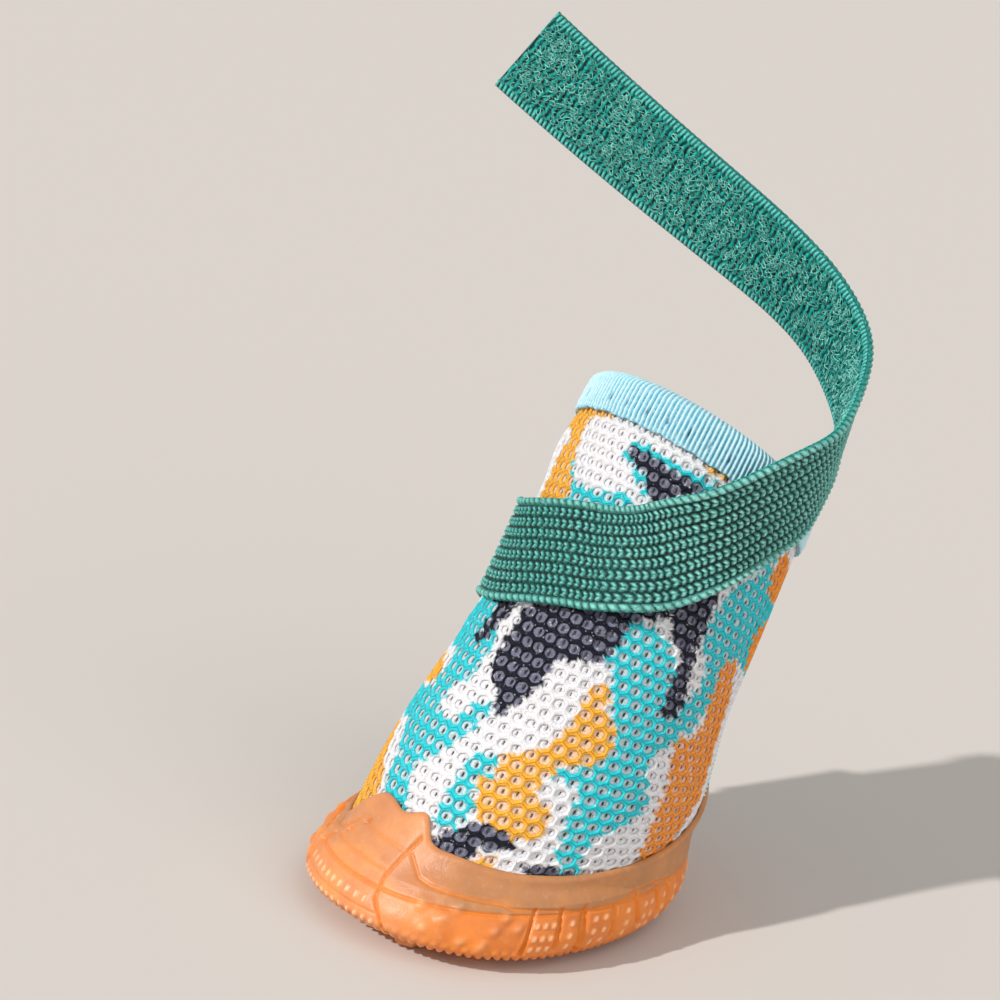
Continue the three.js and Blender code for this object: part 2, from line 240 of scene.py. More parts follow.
def through(over, column, value):
    """A smooth curve through a table's rows: Catmull-Rom on one column over another."""
    over, column = np.asarray(over, float), np.asarray(column, float)
    last = len(over) - 1
    start = np.clip(np.searchsorted(over, value, side="left") - 1, 0, last - 1)
    before, end, after = np.maximum(start - 1, 0), start + 1, np.minimum(start + 2, last)
    span = over[end] - over[start]
    step = np.clip((value - over[start]) / span, 0, 1)
    slope_start = (column[end] - column[before]) / (over[end] - over[before])
    slope_end = (column[after] - column[start]) / (over[after] - over[start])
    square, cube = step ** 2, step ** 3
    return (
        (2 * cube - 3 * square + 1) * column[start]
        + (cube - 2 * square + step) * span * slope_start
        + (3 * square - 2 * cube) * column[end]
        + (cube - square) * span * slope_end
    )


def superellipse(degrees, exponent):
    """Cosine and sine of the angle, each raised to 2 / exponent with its sign kept."""
    x, y = np.cos(np.radians(degrees)), np.sin(np.radians(degrees))
    power = 2 / exponent
    return np.sign(x) * np.abs(x) ** power, np.sign(y) * np.abs(y) ** power


def toe_spring(y):
    """How far the sole's foot lifts at a place along it: the spring times the share squared."""
    forward = np.clip((-y - TOE_SPRING_START) / (SOLE_LENGTH / 2 - TOE_SPRING_START), 0, 1)
    return TOE_SPRING * forward ** 2


def lift_toe(x, y, z):
    """Raises what is low and in front of the ball by the toe spring."""
    low = 1 - np.clip((z - SPRUNG_FULLY) / SPRUNG_FADE, 0, 1)
    return np.stack([x, y, z + toe_spring(y) * low], -1)


def sleeve(around, at, proud):
    """A superellipse at an angle, a place from floor 0 to collar 1 and a height off the fabric."""
    around, at, proud = np.broadcast_arrays(
        np.asarray(around, float), np.asarray(at, float), np.asarray(proud, float))
    across, along = superellipse(around, SLEEVE_ROUNDNESS)
    back, up, tilt, half_width, half_depth = (
        through(LAST["at"], LAST[key], at)
        for key in ("back", "up", "tilt", "half_width", "half_depth"))
    over = np.maximum(0, at - 1)
    depth = (half_depth + proud) * along
    tilt = np.radians(tilt)
    return lift_toe(
        (half_width + proud) * across,
        back + over * LINE_BACK + depth * np.cos(tilt),
        up + over * LINE_UP - depth * np.sin(tilt),
    )


def bell(value, centre, width):
    """One at the centre and falling to nothing on both sides, as a Gaussian."""
    return np.exp(-((value - centre) / width) ** 2)


def folds(around, at):
    """The fabric's own soft folds: it balloons under the collar and creases above the instep."""
    turn = (np.asarray(around, float) + 180) % 360 - 180
    balloon = 1.0 * bell(turn, -150, 22) * bell(at, 0.84, 0.07)
    instep = -0.45 * bell(at, 0.47 + 0.0006 * (turn + 90), 0.018) * bell(turn, -95, 34)
    instep_ridge = 0.35 * bell(at, 0.51 + 0.0006 * (turn + 90), 0.02) * bell(turn, -95, 38)
    side = -0.35 * bell(at, 0.40 - 0.0012 * (turn + 15), 0.02) * bell(turn, -12, 24)
    heel = -0.5 * bell(at, 0.55, 0.025) * bell(turn, 100, 40)
    heel_low = -0.4 * bell(at, 0.46, 0.02) * bell(turn, 110, 30)
    return balloon + instep + instep_ridge + side + heel + heel_low


MM = 0.001


def add_piece(name, points, faces, finish, tone=None, chart=None):
    """Puts points in millimetres, faces, and the points' colours and chart into an object."""
    mesh = bpy.data.meshes.new(name)
    mesh.from_pydata((np.asarray(points, float).reshape(-1, 3) * MM).tolist(), [], list(faces))
    if tone is not None:
        rgba = np.ones((len(mesh.vertices), 4), np.float32)
        rgba[:, :3] = np.asarray(tone, float).reshape(-1, 3)
        layer = mesh.color_attributes.new("tone", "FLOAT_COLOR", "POINT")
        layer.data.foreach_set("color", rgba.ravel())
    if chart is not None:
        corners_of = np.zeros(len(mesh.loops), int)
        mesh.loops.foreach_get("vertex_index", corners_of)
        uv_layer = mesh.uv_layers.new(name="chart")
        uv_layer.data.foreach_set("uv", np.asarray(chart, np.float32)[corners_of].ravel())
    mesh.shade_smooth()
    mesh.materials.append(finish.material)
    piece = bpy.data.objects.new(name, mesh)
    bpy.context.scene.collection.objects.link(piece)
    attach(piece, "root")
    return piece


def lattice(rows, columns, close_rows=False, close_columns=False):
    """The quads of a grid of points that is numbered row by row."""
    row = np.arange(rows if close_rows else rows - 1)[:, None]
    column = np.arange(columns if close_columns else columns - 1)[None, :]
    next_row, next_column = (row + 1) % rows, (column + 1) % columns
    corners_of = [row * columns + column, row * columns + next_column,
                  next_row * columns + next_column, next_row * columns + column]
    return np.stack(np.broadcast_arrays(*corners_of), -1).reshape(-1, 4)


def tube(rings, sides, first=0):
    """The faces of a tube of points that is numbered ring by ring, with a face over each end."""
    quads = lattice(rings, sides, close_columns=True) + first
    foot = first + np.arange(sides)
    return [*quads.tolist(), foot[::-1].tolist(), (foot + (rings - 1) * sides).tolist()]


# ------------------------------------------------------------------ upper: the print
# Blotches of four inks, printed on the white net before the leg is sewn. Each is an ink and a list
# of corners, as degrees round and place up. They cover the front, the outer side and the heel side.

INK = {name: linear(code) for name, code in {
    "white": "#F0EFF2", "turquoise": "#04D0DC", "orange": "#FFB022", "flame": "#FF961A",
    "navy": "#05081F",
}.items()}
BLOTCHES = [
    ("turquoise",  # leg, outer side
     [(-132, .53), (-110, .53), (-100, .49), (-97, .41), (-105, .37), (-104, .33), (-94, .33), (-88, .38),
      (-80, .38), (-84, .33), (-92, .27), (-99, .24), (-96, .20), (-89, .16), (-99, .15), (-111, .19),
      (-113, .25), (-124, .29), (-150, .27), (-150, .34), (-128, .34), (-119, .36), (-119, .42),
      (-150, .44)]),
    ("turquoise",  # beside the toe tab
     [(-78, .31), (-68, .31), (-66, .27), (-72, .25), (-67, .22), (-69, .18), (-79, .18), (-80, .24)]),
    ("turquoise",  # instep
     [(-49, .61), (-34, .61), (-22, .58), (-16, .51), (-5, .47), (-3, .43), (-11, .40), (-12, .35),
      (-7, .32), (-5, .28), (-12, .25), (-20, .22), (-22, .19), (-16, .13), (-24, .14), (-31, .17),
      (-35, .24), (-34, .30), (-46, .31), (-50, .32), (-42, .33), (-32, .36), (-31, .41), (-38, .45),
      (-42, .49), (-49, .52)]),
    ("turquoise",  # ankle side
     [(6, .90), (-2, .80), (-12, .75), (-15, .68), (-13, .62), (-7, .60), (-3, .56), (-8, .51), (-8, .46),
      (0, .45), (3, .47), (6, .54), (5, .60), (12, .64), (40, .61), (60, .63), (60, .80), (25, .79),
      (12, .80), (7, .84)]),
    ("turquoise",  # above the strap
     [(-114, .82), (-106, .78), (-95, .77), (-82, .785), (-76, .80), (-66, .75), (-110, .72)]),
    ("turquoise",  # under the collar
     [(-104, .925), (-96, .912), (-70, .92), (-50, .912), (-50, .94), (-104, .94)]),
    ("turquoise",  # round the dart
     [(-88, .86), (-84, .89), (-60, .885), (-42, .895), (-46, .86), (-70, .80)]),
    ("orange",  # collar, outer side
     [(-150, .93), (-103, .925), (-102, .905), (-117, .90), (-119, .86), (-115, .82), (-110, .785),
      (-103, .75), (-108, .72), (-129, .72), (-131, .80), (-127, .86), (-150, .88)]),
    ("orange",  # collar, inner side
     [(-51, .95), (-30, .95), (-30, .925), (-40, .903), (-50, .902)]),
    ("orange",  # instep
     [(-49, .485), (-41, .485), (-40, .445), (-31, .415), (-30, .37), (-36, .345), (-45, .33), (-50, .30),
      (-48, .27), (-41, .26), (-39, .21), (-45, .19), (-56, .20), (-67, .215), (-68, .24), (-73, .265),
      (-65, .28), (-69, .315), (-60, .335), (-53, .36), (-50, .40)]),
    ("flame",  # heel side
     [(3, .62), (12, .635), (20, .57), (26, .51), (29, .42), (31, .30), (24, .27), (19, .20), (12, .15),
      (3, .15), (1, .22), (0, .30), (-1, .38), (-4, .44), (4, .445), (8, .48), (5, .55)]),
    ("flame",  # collar, heel side
     [(9, .82), (10, .87), (17, .885), (30, .865), (60, .91), (60, .81), (35, .80), (25, .785),
      (12, .80)]),
    ("flame",  # ankle, heel side
     [(19, .72), (30, .755), (60, .75), (60, .66), (30, .63), (22, .65)]),
    ("orange",  # toe, outer side
     [(-150, .415), (-126, .40), (-118, .38), (-125, .352), (-150, .35)]),
    ("orange",  # toe, outer side low
     [(-150, .27), (-131, .265), (-124, .225), (-113, .19), (-108, .15), (-108, .05), (-150, .05)]),
    ("orange",  # toe tab corner
     [(-58, .150), (-52, .158), (-49, .135), (-52, .11), (-58, .12)]),
    ("navy",  # across the ankle
     [(-94, .545), (-82, .575), (-60, .62), (-45, .66), (-33, .68), (-34, .64), (-44, .615), (-48, .60),
      (-47, .555), (-52, .512), (-62, .50), (-68, .49), (-69, .44), (-73, .40), (-77, .372), (-82, .376),
      (-85, .41), (-93, .43), (-95, .47), (-92, .51)]),
    ("navy",  # ankle, outer side
     [(-122, .56), (-97, .57), (-99, .515), (-104, .475), (-108, .452), (-114, .458), (-108, .50),
      (-110, .525), (-120, .545)]),
    ("navy",  # drip
     [(-36, .68), (-28, .73), (-17, .73), (-15, .67), (-14, .61), (-11, .56), (-8, .51), (-9, .475),
      (-14, .468), (-18, .475), (-19, .53), (-20, .59), (-29, .615), (-33, .64)]),
    ("navy",  # dart
     [(-87, .868), (-79, .878), (-62, .870), (-45, .876), (-48, .855), (-57, .83),
      (-63, .80), (-68, .81), (-74, .84), (-84, .85)]),
    ("navy",  # toe
     [(-77, .14), (-73, .17), (-64, .20), (-58, .207), (-51, .20), (-46, .18), (-52, .165), (-58, .163),
      (-60, .14), (-60, .12), (-73, .12)]),
    ("navy",  # forefoot rim
     [(-41, .152), (-31, .158), (-22, .145), (-18, .13), (-20, .11), (-34, .12)]),
]
BACK_SEAM, CHART_END = 47, -150


def inside_outline(x, y, outline):
    """Even-odd rule: how many edges a line going right from the point crosses."""
    outline = np.asarray(outline, float)
    inside = np.zeros(x.shape, bool)
    for (x0, y0), (x1, y1) in zip(outline, np.roll(outline, -1, 0)):
        if y0 != y1:
            crosses = (y0 > y) != (y1 > y)
            inside ^= crosses & (x < x0 + (y - y0) * (x1 - x0) / (y1 - y0))
    return inside


def printed(around, at):
    """The ink at a place on the sleeve, with edges that wander a little along the threads."""
    turn = (np.asarray(around, float) - CHART_END) % 360 + CHART_END
    middle = (BACK_SEAM + CHART_END + 360) / 2
    # The side that faces away shows the chart turned round at the heel and a little stretched.
    away_side = 2 * middle - turn - 360 + (middle - turn) * 0.2 + 210
    turn = np.clip(np.where(turn > BACK_SEAM, away_side, turn), CHART_END, 55)
    turn = turn + 0.9 * np.sin(at * 230 + turn * 0.5) + 0.5 * np.sin(at * 517 + turn)
    at = at + 0.004 * np.sin(turn * 0.9 + at * 41)
    ink = np.broadcast_to(INK["white"], (*turn.shape, 3)).copy()
    for name, outline in BLOTCHES:
        ink[inside_outline(turn, at, outline)] = INK[name]
    return ink


# ------------------------------------------------------------------ upper: the net
# The face net is warp-knitted: rows of doubled yarns round staggered oval holes, about 2.1 mm apart.
# Each cell is a ring of facets from the hole's lower edge over the yarn to the yarns' middle.

NET_COLUMNS, NET_ROWS = 62, 39
NET_FROM, NET_TO = 0.055, 0.935
HOLE_HALF = (0.46, 0.345)  # half the hole, as a share of the pitch round and up
HOLE_CORNERS = 0.5  # how far the hole's shape goes from an oval to the cell's own six corners
YARN_STEPS = {"across": (0, 0.06, 0.76, 1), "height": (-0.20, -0.02, 0.13, 0.16)}
NET_PROUD = 0.12
INK_DARK, INK_WHITE = 0.4, 0.7  # dark inks sum to less, and white has more in every channel
CELL_SIZE = (2.15, 1.75)  # the pitch round and up, in millimetres
# Corners and middles of a cell's edge, in twelfths of the pitch.
CELL_EDGE = np.array([(0, 8), (3, 6), (6, 4), (6, 0), (6, -4), (3, -6),
                      (0, -8), (-3, -6), (-6, -4), (-6, 0), (-6, 4), (-3, 6)])
RIM_ROWS = {
    "from_toe": (-180, -150, -120, -90, -60, -38, -25, -15, -9, -1, 8, 15, 25, 55, 90, 120, 150, 180),
    "at": (.39, .32, .2, .13, .092, .088, .134, .167, .17, .161, .174, .137, .131, .128, .155, .225,
           .335, .39),
}


def rim_at(around):
    """Where the rubber's rim lies on the sleeve, by the angle from the toe."""
    from_toe = (np.asarray(around, float) + 90 + 180) % 360 - 180
    return through(RIM_ROWS["from_toe"], RIM_ROWS["at"], from_toe)


def cell_centres():
    """Staggered cell centres in twelfths of the pitch, where the rubber doesn't hide the net."""
    row, column = np.mgrid[0:NET_ROWS, 0:NET_COLUMNS]
    centre = np.stack([column * 12 + (row % 2) * 6, row * 12], -1).reshape(-1, 2)
    around, at = net_place(centre)
    return centre[at > rim_at(around) - 0.05]


def net_place(twelfths):
    """Angle round and place up of a point given in twelfths of the net's pitch."""
    around = twelfths[..., 0] / (12 * NET_COLUMNS) * 360 - 180
    at = NET_FROM + twelfths[..., 1] / (12 * (NET_ROWS - 1)) * (NET_TO - NET_FROM)
    return around, at


def slack(centre):
    """Each hole's size wanders by a few hundredths. The dark inks pull the yarns thin, and where
    nothing is printed they stay full."""
    ink = printed(*net_place(centre)).sum(-1)
    drawn = np.where(ink < INK_DARK, 1.12, np.where(ink > 2.4, 0.95, 1.0))
    broad_wander = 0.05 * np.sin(centre[:, 0] * 0.71 + centre[:, 1] * 1.37)
    return drawn * (1 + broad_wander + 0.03 * np.sin(centre[:, 0] * 2.3))


def cells_mesh(steps, hole_half, shift=None):
    """Rings of twelve points per cell, from the hole's edge out to the cell's edge, whose points
    neighbours share. A shift moves each hole, and closes it. Gives points on the net as twelfths
    and height, the ring each belongs to, and faces."""
    centre = cell_centres()
    edge = np.broadcast_to(CELL_EDGE, (len(centre), 12, 2)).astype(float)
    bearing = np.arctan2(CELL_EDGE[:, 1] * CELL_SIZE[1], CELL_EDGE[:, 0] * CELL_SIZE[0])
    hole = np.stack([np.cos(bearing) * hole_half[0] * 12, np.sin(bearing) * hole_half[1] * 12], -1)
    hole = hole * (1 - HOLE_CORNERS) + CELL_EDGE * (1.55 * np.array(hole_half)) * HOLE_CORNERS
    hole = hole * slack(centre)[:, None, None]
    if shift is not None:
        hole = hole + shift(centre)[:, None, :]
    rings = np.stack([hole + (edge - hole) * share for share in steps["across"]], 1)
    rings = rings + centre[:, None, None, :]
    rings[..., 0] %= 12 * NET_COLUMNS
    ring_shape = rings.shape[:-1]
    height = np.broadcast_to(np.array(steps["height"], float)[None, :, None], ring_shape)
    kind = np.broadcast_to(np.arange(ring_shape[1])[None, :, None], ring_shape).reshape(-1)
    flat = np.concatenate([rings.reshape(-1, 2), height.reshape(-1, 1)], 1)
    _, first, index = np.unique(np.round(flat * 64).astype(np.int64), axis=0,
                                return_index=True, return_inverse=True)
    number = index.reshape(ring_shape)
    quads = np.stack([number[:, :-1], np.roll(number[:, :-1], -1, 2),
                      np.roll(number[:, 1:], -1, 2), number[:, 1:]], -1)[..., ::-1].reshape(-1, 4)
    faces = quads.tolist()
    if shift is not None:
        faces += number[:, 0, ::-1].tolist()
    return flat[first], kind[first], faces


def laid_on_leg(flat):
    """Points of the net on the leg, just off the fabric and with its folds, and the ink there."""
    around, at = net_place(flat[:, :2])
    return sleeve(around, at, flat[:, 2] + NET_PROUD + folds(around, at)), printed(around, at)


net_flat, net_kind, net_faces = cells_mesh(YARN_STEPS, HOLE_HALF)
net_points, net_ink = laid_on_leg(net_flat)
# The ink lies thick on the yarns' middles and thin by the holes, where the white yarn shows under
# dark inks. Under the other inks the hole's edge is painted a little darker, as shade where the yarn
# turns down into the hole.
is_dark = net_ink.sum(-1, keepdims=True) < INK_DARK
is_white = net_ink.min(-1, keepdims=True) > INK_WHITE
# A line painted dark, as shade in the crease between the doubled yarns, zigzags along the rows, and
# breaks on the short yarns that run up between two holes.
riser = (np.round(net_flat[:, 1:2]) % 12 == 0).astype(float)
ink_and_shade_by_ring = [
    np.where(is_dark, linear("#5C5F74") * 0.30, net_ink * 0.86 + 0.02),
    np.where(is_dark, net_ink, net_ink * 0.95 + 0.04),
    np.where(is_dark, net_ink, net_ink + 0.01),
    np.where(is_white, net_ink * (0.82 + 0.14 * riser), net_ink * (0.36 + 0.52 * riser)),
]
net_ink = np.choose(net_kind[:, None], ink_and_shade_by_ring)

yarn = Finish("printed_net_yarn", roughness=0.62, sheen_weight=0.12, sheen_roughness=0.4,
              specular_ior_level=0.25)
yarn_grain = yarn.noise(5200, 2, 0.6)
yarn_strand = yarn.noise(2600, 3, 0.65)
yarn_tone = yarn.layers(
    yarn.tone(),
    (yarn.noise(420, 3, 0.6), 0.5, -0.12, 1.0, "#F2F6FA", "SOFT_LIGHT"),
    (yarn.noise(1700, 3, 0.7), -6.0, 2.75, 0.45, "#8C9096", "MULTIPLY"),
    # White flecks by noise: a painted highlight, glints on the yarn.
    (yarn.noise(2100, 2, 0.5), 8.0, -5.2, 0.7, "#FFFFFF", "MIX"))
yarn.use(base_color=yarn_tone, roughness=yarn_strand * 0.5 + 0.30,
         normal=yarn.bump(yarn_grain, 0.00012, 0.5, yarn.bump(yarn_strand, 0.00028, 0.7)))

net = add_piece("upper_net", net_points, net_faces, yarn, net_ink)
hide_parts("upper")

# ------------------------------------------------------------------ upper: the spacer yarns
# Behind each hole lie the pale spacer yarns that hold the air mesh's two faces apart, knitted in
# with the net, with a slit between them that is painted dark as shade. The yarns are painted darker
# again, as shade, where the net's yarns lie over them. The ink goes through a little.

SLIT_HALF = (0.045, 0.15)
SLIT_WANDER = 1.6  # in twelfths of the pitch
LINING_INK_SHARE, LINING_WARM_SHARE, LINING_DARK_SHARE = 0.26, 0.56, 0.80
LINING_STEPS = {"across": (0, 0.14, 0.45, 1), "height": (-0.44, -0.31, -0.25, -0.30)}
# Painted shade on the spacer yarns from the slit outwards: darkest in the slit, and darker again at the
# cell's edge, under the net's yarns.
LINING_SHADE_BY_RING = (0.14, 0.60, 0.96, 0.66)  # how light the yarns are from the slit outwards
slit_draw = np.random.default_rng(7)


def slit_shift(centre):
    """Slits lie anywhere near the middle of their hole."""
    return slit_draw.uniform(-SLIT_WANDER, SLIT_WANDER, (len(centre), 2))


lining_flat, lining_kind, lining_faces = cells_mesh(LINING_STEPS, SLIT_HALF, slit_shift)
lining_points, lining_ink = laid_on_leg(lining_flat)
over_dark = lining_ink.sum(-1, keepdims=True) < INK_DARK
over_white = lining_ink.min(-1, keepdims=True) > INK_WHITE
over_warm = (lining_ink[:, 0] - lining_ink[:, 2] > 0.6)[:, None]
lining_share = np.where(over_warm, LINING_WARM_SHARE, LINING_INK_SHARE)
lining_share = np.where(over_dark, LINING_DARK_SHARE, lining_share)
lining_tone = lining_ink * lining_share + linear("#DAD5DA") * (1 - lining_share)
lining_tone = np.where(over_dark, lining_tone * [0.88, 0.93, 1.30], lining_tone)
# The painted shade round the slit is weaker under white and warm inks.
slit_shade_strength = np.where(over_white, 0.34, np.where(over_warm, 0.75, 1.0))
lining_shade = np.array(LINING_SHADE_BY_RING)[lining_kind][:, None]
lining_tone = lining_tone * (1 - (1 - lining_shade) * slit_shade_strength)

spacer = Finish("spacer_yarn", roughness=0.55, sheen_weight=0.3, specular_ior_level=0.5)
spacer_grain = spacer.noise(2600, 3, 0.7)
spacer_tone = spacer.layers(
    spacer.tone(),
    (spacer_grain, 2.4, -0.9, 1.0, "#FFFFFF", "SOFT_LIGHT"),
    (spacer_grain, -5.0, 2.2, 0.6, "#5A5C6C", "MULTIPLY"),
    # White flecks by noise: a painted highlight, glints on the spacer yarns.
    (spacer.noise(2300, 2, 0.5), 6.0, -3.7, 0.8, "#FFFFFF", "MIX"))
spacer.use(base_color=spacer_tone, normal=spacer.bump(spacer_grain, 0.0002, 0.8))

lining = add_piece("upper_lining", lining_points, lining_faces, spacer, lining_tone)
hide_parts("upper")

# ------------------------------------------------------------------ upper: the inside face
# The air mesh's inside face is a smooth grey-white tricot, knitted in with the spacer yarns. It is
# a closed wall that ends inside the collar.

TRICOT_PROUD = (-1.45, -1.80)
TRICOT_FROM, TRICOT_TO = 0.004, 0.972
TRICOT_ROWS, TRICOT_COLUMNS, TRICOT_RIBS = 60, 180, 1100
tricot_at = np.linspace(TRICOT_FROM, TRICOT_TO, TRICOT_ROWS)
tricot_at = np.concatenate([tricot_at, tricot_at[::-1]])[None, :]
tricot_proud = np.repeat(TRICOT_PROUD, TRICOT_ROWS)[None, :]
tricot_turn = np.arange(TRICOT_COLUMNS)[:, None] * 2.0
tricot_points = sleeve(-tricot_turn, tricot_at, tricot_proud + folds(-tricot_turn, tricot_at))
tricot_chart = np.stack(np.broadcast_arrays(tricot_turn / 360, tricot_at), -1)
tricot = Finish("tricot_inside", roughness=0.85, sheen_weight=0.3)
chart_place = tricot.node("ShaderNodeUVMap", {}, {})
tricot_ribs = (tricot.node("ShaderNodeSeparateXYZ", {}, {0: chart_place}) * TRICOT_RIBS).wave()
tricot.use(base_color=tricot.layers(colour("#C7C5C6"), (tricot_ribs, 0.5, 0.5, 1.0, "#E6E4E4", "MIX")),
           normal=tricot.bump(tricot_ribs, 0.0001, 0.5))
tricot_faces = lattice(TRICOT_COLUMNS, 2 * TRICOT_ROWS, True, True)
inside = add_piece("upper_inside", tricot_points, tricot_faces, tricot, chart=tricot_chart.reshape(-1, 2))
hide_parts("upper")

# ------------------------------------------------------------------ insole
# A thin grey foam insole with a knitted top cloth lies inside the sleeve, on the sole. Its edge
# follows the sleeve's inside face.

INSOLE_PROUD, INSOLE_LOW, SLEEVE_CLIMB = -2.1, 0.3, 58
INSOLE_COLUMNS = 160
insole_turn = -np.arange(INSOLE_COLUMNS) * 2.25
# Shares of the outline and heights over the insole's foot, from its middle round the edge.
insole_rings = [(0.02, 0.0), (0.3, 0.0), (0.6, 0.0), (0.85, 0.0), (0.96, 0.0), (1.0, 0.25), (1.0, 0.6),
                (1.0, 1.25), (0.98, 1.42), (0.95, 1.5), (0.8, 1.5), (0.6, 1.5), (0.4, 1.5), (0.2, 1.5),
                (0.02, 1.5)]
insole_rows = []
for share, rise in insole_rings:
    outline = sleeve(insole_turn, (INSOLE_LOW + rise) / SLEEVE_CLIMB, INSOLE_PROUD)
    middle = outline.mean(0)
    insole_rows.append(middle + (outline - middle) * [share, share, 1])
foam = Finish("insole_cloth", roughness=0.9, sheen_weight=0.35)
foam_knit = foam.node("ShaderNodeTexVoronoi", {"feature": "F1"},
                      {"Vector": foam.place(), "Scale": 1500.0})
foam.use(base_color=foam.layers(colour("#8C8C90"), (foam_knit, 0.9, 0.0, 1.0, "#5D5D62", "MIX")),
         normal=foam.bump(1 - foam_knit, 0.0002, 0.6))
insole = add_piece("insole_pad", insole_rows, tube(len(insole_rings), INSOLE_COLUMNS), foam)
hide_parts("insole")

# ------------------------------------------------------------------ cup sole
# One moulding in gum rubber: a ribbed and dotted wall, a toe bumper, and a smooth rim that laps over
# the net. It is moulded onto the sleeve.

SOLE_SQUARENESS, SOLE_LEAN, LEAN_START = 2.15, 0.48, 3
WALL_ROWS = {"inset": (2.3, 1.1, 0, 0.3, 0.8), "up": (1.75, 2.3, 4.6, 7.6, 9.6)}
WIDEST, RIDGE, RIM_BAND, RIM_LAP, LIP, FABRIC_HOLLOW = 4.6, 9.6, 1.6, 0.3, 0.8, 0.4
ARCH_RISE, CAVITY_FLOOR = 0.8, 3.1
SOLE_COLUMNS, WALL_STEPS, BAND_STEPS = 700, 76, 30
# The gum's own colours, with a darker, deeper orange painted as shade in the cuts and a pale one painted
# as highlight on the dots.
GUM, GUM_CUT_SHADE, GUM_HIGHLIGHT = linear("#DC8A58"), linear("#E07A08"), linear("#FAD3AE")
GUM_RIM, GUM_SIDE, GUM_RIM_SIDE = linear("#C88358"), linear("#D9741F"), linear("#AE784E")


def wall_outline(turn, inset, up):
    """The sole's outline: a superellipse, drawn in by an inset and leaning back with height."""
    across, along = superellipse(turn, SOLE_SQUARENESS)
    x = (SOLE_WIDTH / 2 - inset) * across
    y = (SOLE_LENGTH / 2 - inset) * along + SOLE_LEAN * np.maximum(0, up - LEAN_START)
    return lift_toe(*np.broadcast_arrays(x, y, up))


sole_turn = 180 - np.arange(SOLE_COLUMNS) * 360 / SOLE_COLUMNS
rim_place = rim_at(sole_turn)
rim_height = sleeve(sole_turn, rim_place, 0)[:, 2]
ridge_share = (np.minimum(RIDGE, rim_height - RIM_BAND) - WIDEST) / (RIDGE - WIDEST)

# The moulding's skin, ring by ring: the arched underside, the wall up to the ridge, the smooth band
# that hollows in over the net, the rim's lip, and the cavity that the sleeve stands in.
under_rows = []
for share in (0.012, 0.15, 0.3, 0.45, 0.6, 0.72, 0.82, 0.9, 0.95, 0.98):
    row = wall_outline(sole_turn, WALL_ROWS["inset"][0], np.full(SOLE_COLUMNS, WALL_ROWS["up"][0]))
    row = row * [share, share, 1]
    arch = ARCH_RISE * np.maximum(0, 1 - np.abs(row[:, 1] - 5) / 5)
    row[:, 2] = WALL_ROWS["up"][0] + arch * (1 - share ** 6) + toe_spring(row[:, 1])
    under_rows.append(row)

wall_steps = np.linspace(0, 1, WALL_STEPS)
along_wall = np.array([0, 0.115, 0.42, 0.77, 1])
wall_inset = through(along_wall, WALL_ROWS["inset"], wall_steps)
wall_up = through(along_wall, WALL_ROWS["up"], wall_steps)
wall_rows = []
for inset, up in zip(wall_inset, wall_up):
    risen = WIDEST + (up - WIDEST) * ridge_share if up > WIDEST else np.full(SOLE_COLUMNS, up)
    wall_rows.append(wall_outline(sole_turn, inset, risen))

rim_low = sleeve(sole_turn, rim_place, RIM_LAP + LIP)
across, along = superellipse(sole_turn, SOLE_SQUARENESS)
band_rows = []
for share in np.linspace(0, 1, BAND_STEPS + 1)[1:]:
    hollow = FABRIC_HOLLOW * np.sin(np.pi * share)
    row = wall_rows[-1] * (1 - share) + rim_low * share
    band_rows.append(row - np.stack([across * hollow, along * hollow, np.zeros_like(along)], -1))
lip_steps = [(0.006, LIP * 0.92), (0.0105, LIP * 0.6), (0.0115, LIP * 0.25), (0.010, 0.0)]
lip_rows = [sleeve(sole_turn, rim_place + rise, RIM_LAP + proud) for rise, proud in lip_steps]
cavity_rows = [sleeve(sole_turn, rim_place * share, RIM_LAP) for share in (0.97, 0.7, 0.4, 0.12)]
floor_rows = [sleeve(sole_turn, 0, RIM_LAP) * [share, share, 0] + [0, 0, CAVITY_FLOOR]
              for share in (0.98, 0.6, 0.3, 0.012)]
for row in floor_rows:
    row[:, 2] += toe_spring(row[:, 1])

sole_grid = np.stack(under_rows + wall_rows + band_rows + lip_rows + cavity_rows + floor_rows)
first_wall = len(under_rows)
last_band = first_wall + WALL_STEPS + BAND_STEPS
wall_slice = slice(first_wall, last_band)
height = sole_grid[wall_slice, :, 2]

# Relief is cut and raised along the wall's own normals. It is laid out by degrees round from the
# toe's middle, signed towards the boot's left, and by height, and measured on the unrolled wall.
TOE_MIDDLE = -93
outline_mid = wall_outline(sole_turn, 0, np.full(SOLE_COLUMNS, WIDEST))
outline_steps = np.linalg.norm(np.diff(outline_mid, axis=0, append=outline_mid[:1]), axis=1)
perimeter = outline_steps.sum()
unrolled = np.concatenate([[0], np.cumsum(outline_steps)[:-1]])
toe_column = int(np.argmin(np.abs(sole_turn - TOE_MIDDLE)))
from_toe_mm = -((unrolled - unrolled[toe_column] + perimeter / 2) % perimeter - perimeter / 2)
from_toe_degrees = (sole_turn - TOE_MIDDLE + 180) % 360 - 180
order = np.argsort(from_toe_degrees)


def mm_at(degrees):
    """Signed millimetres on the unrolled wall at a signed angle from the toe's middle."""
    return np.interp(degrees, from_toe_degrees[order], from_toe_mm[order])


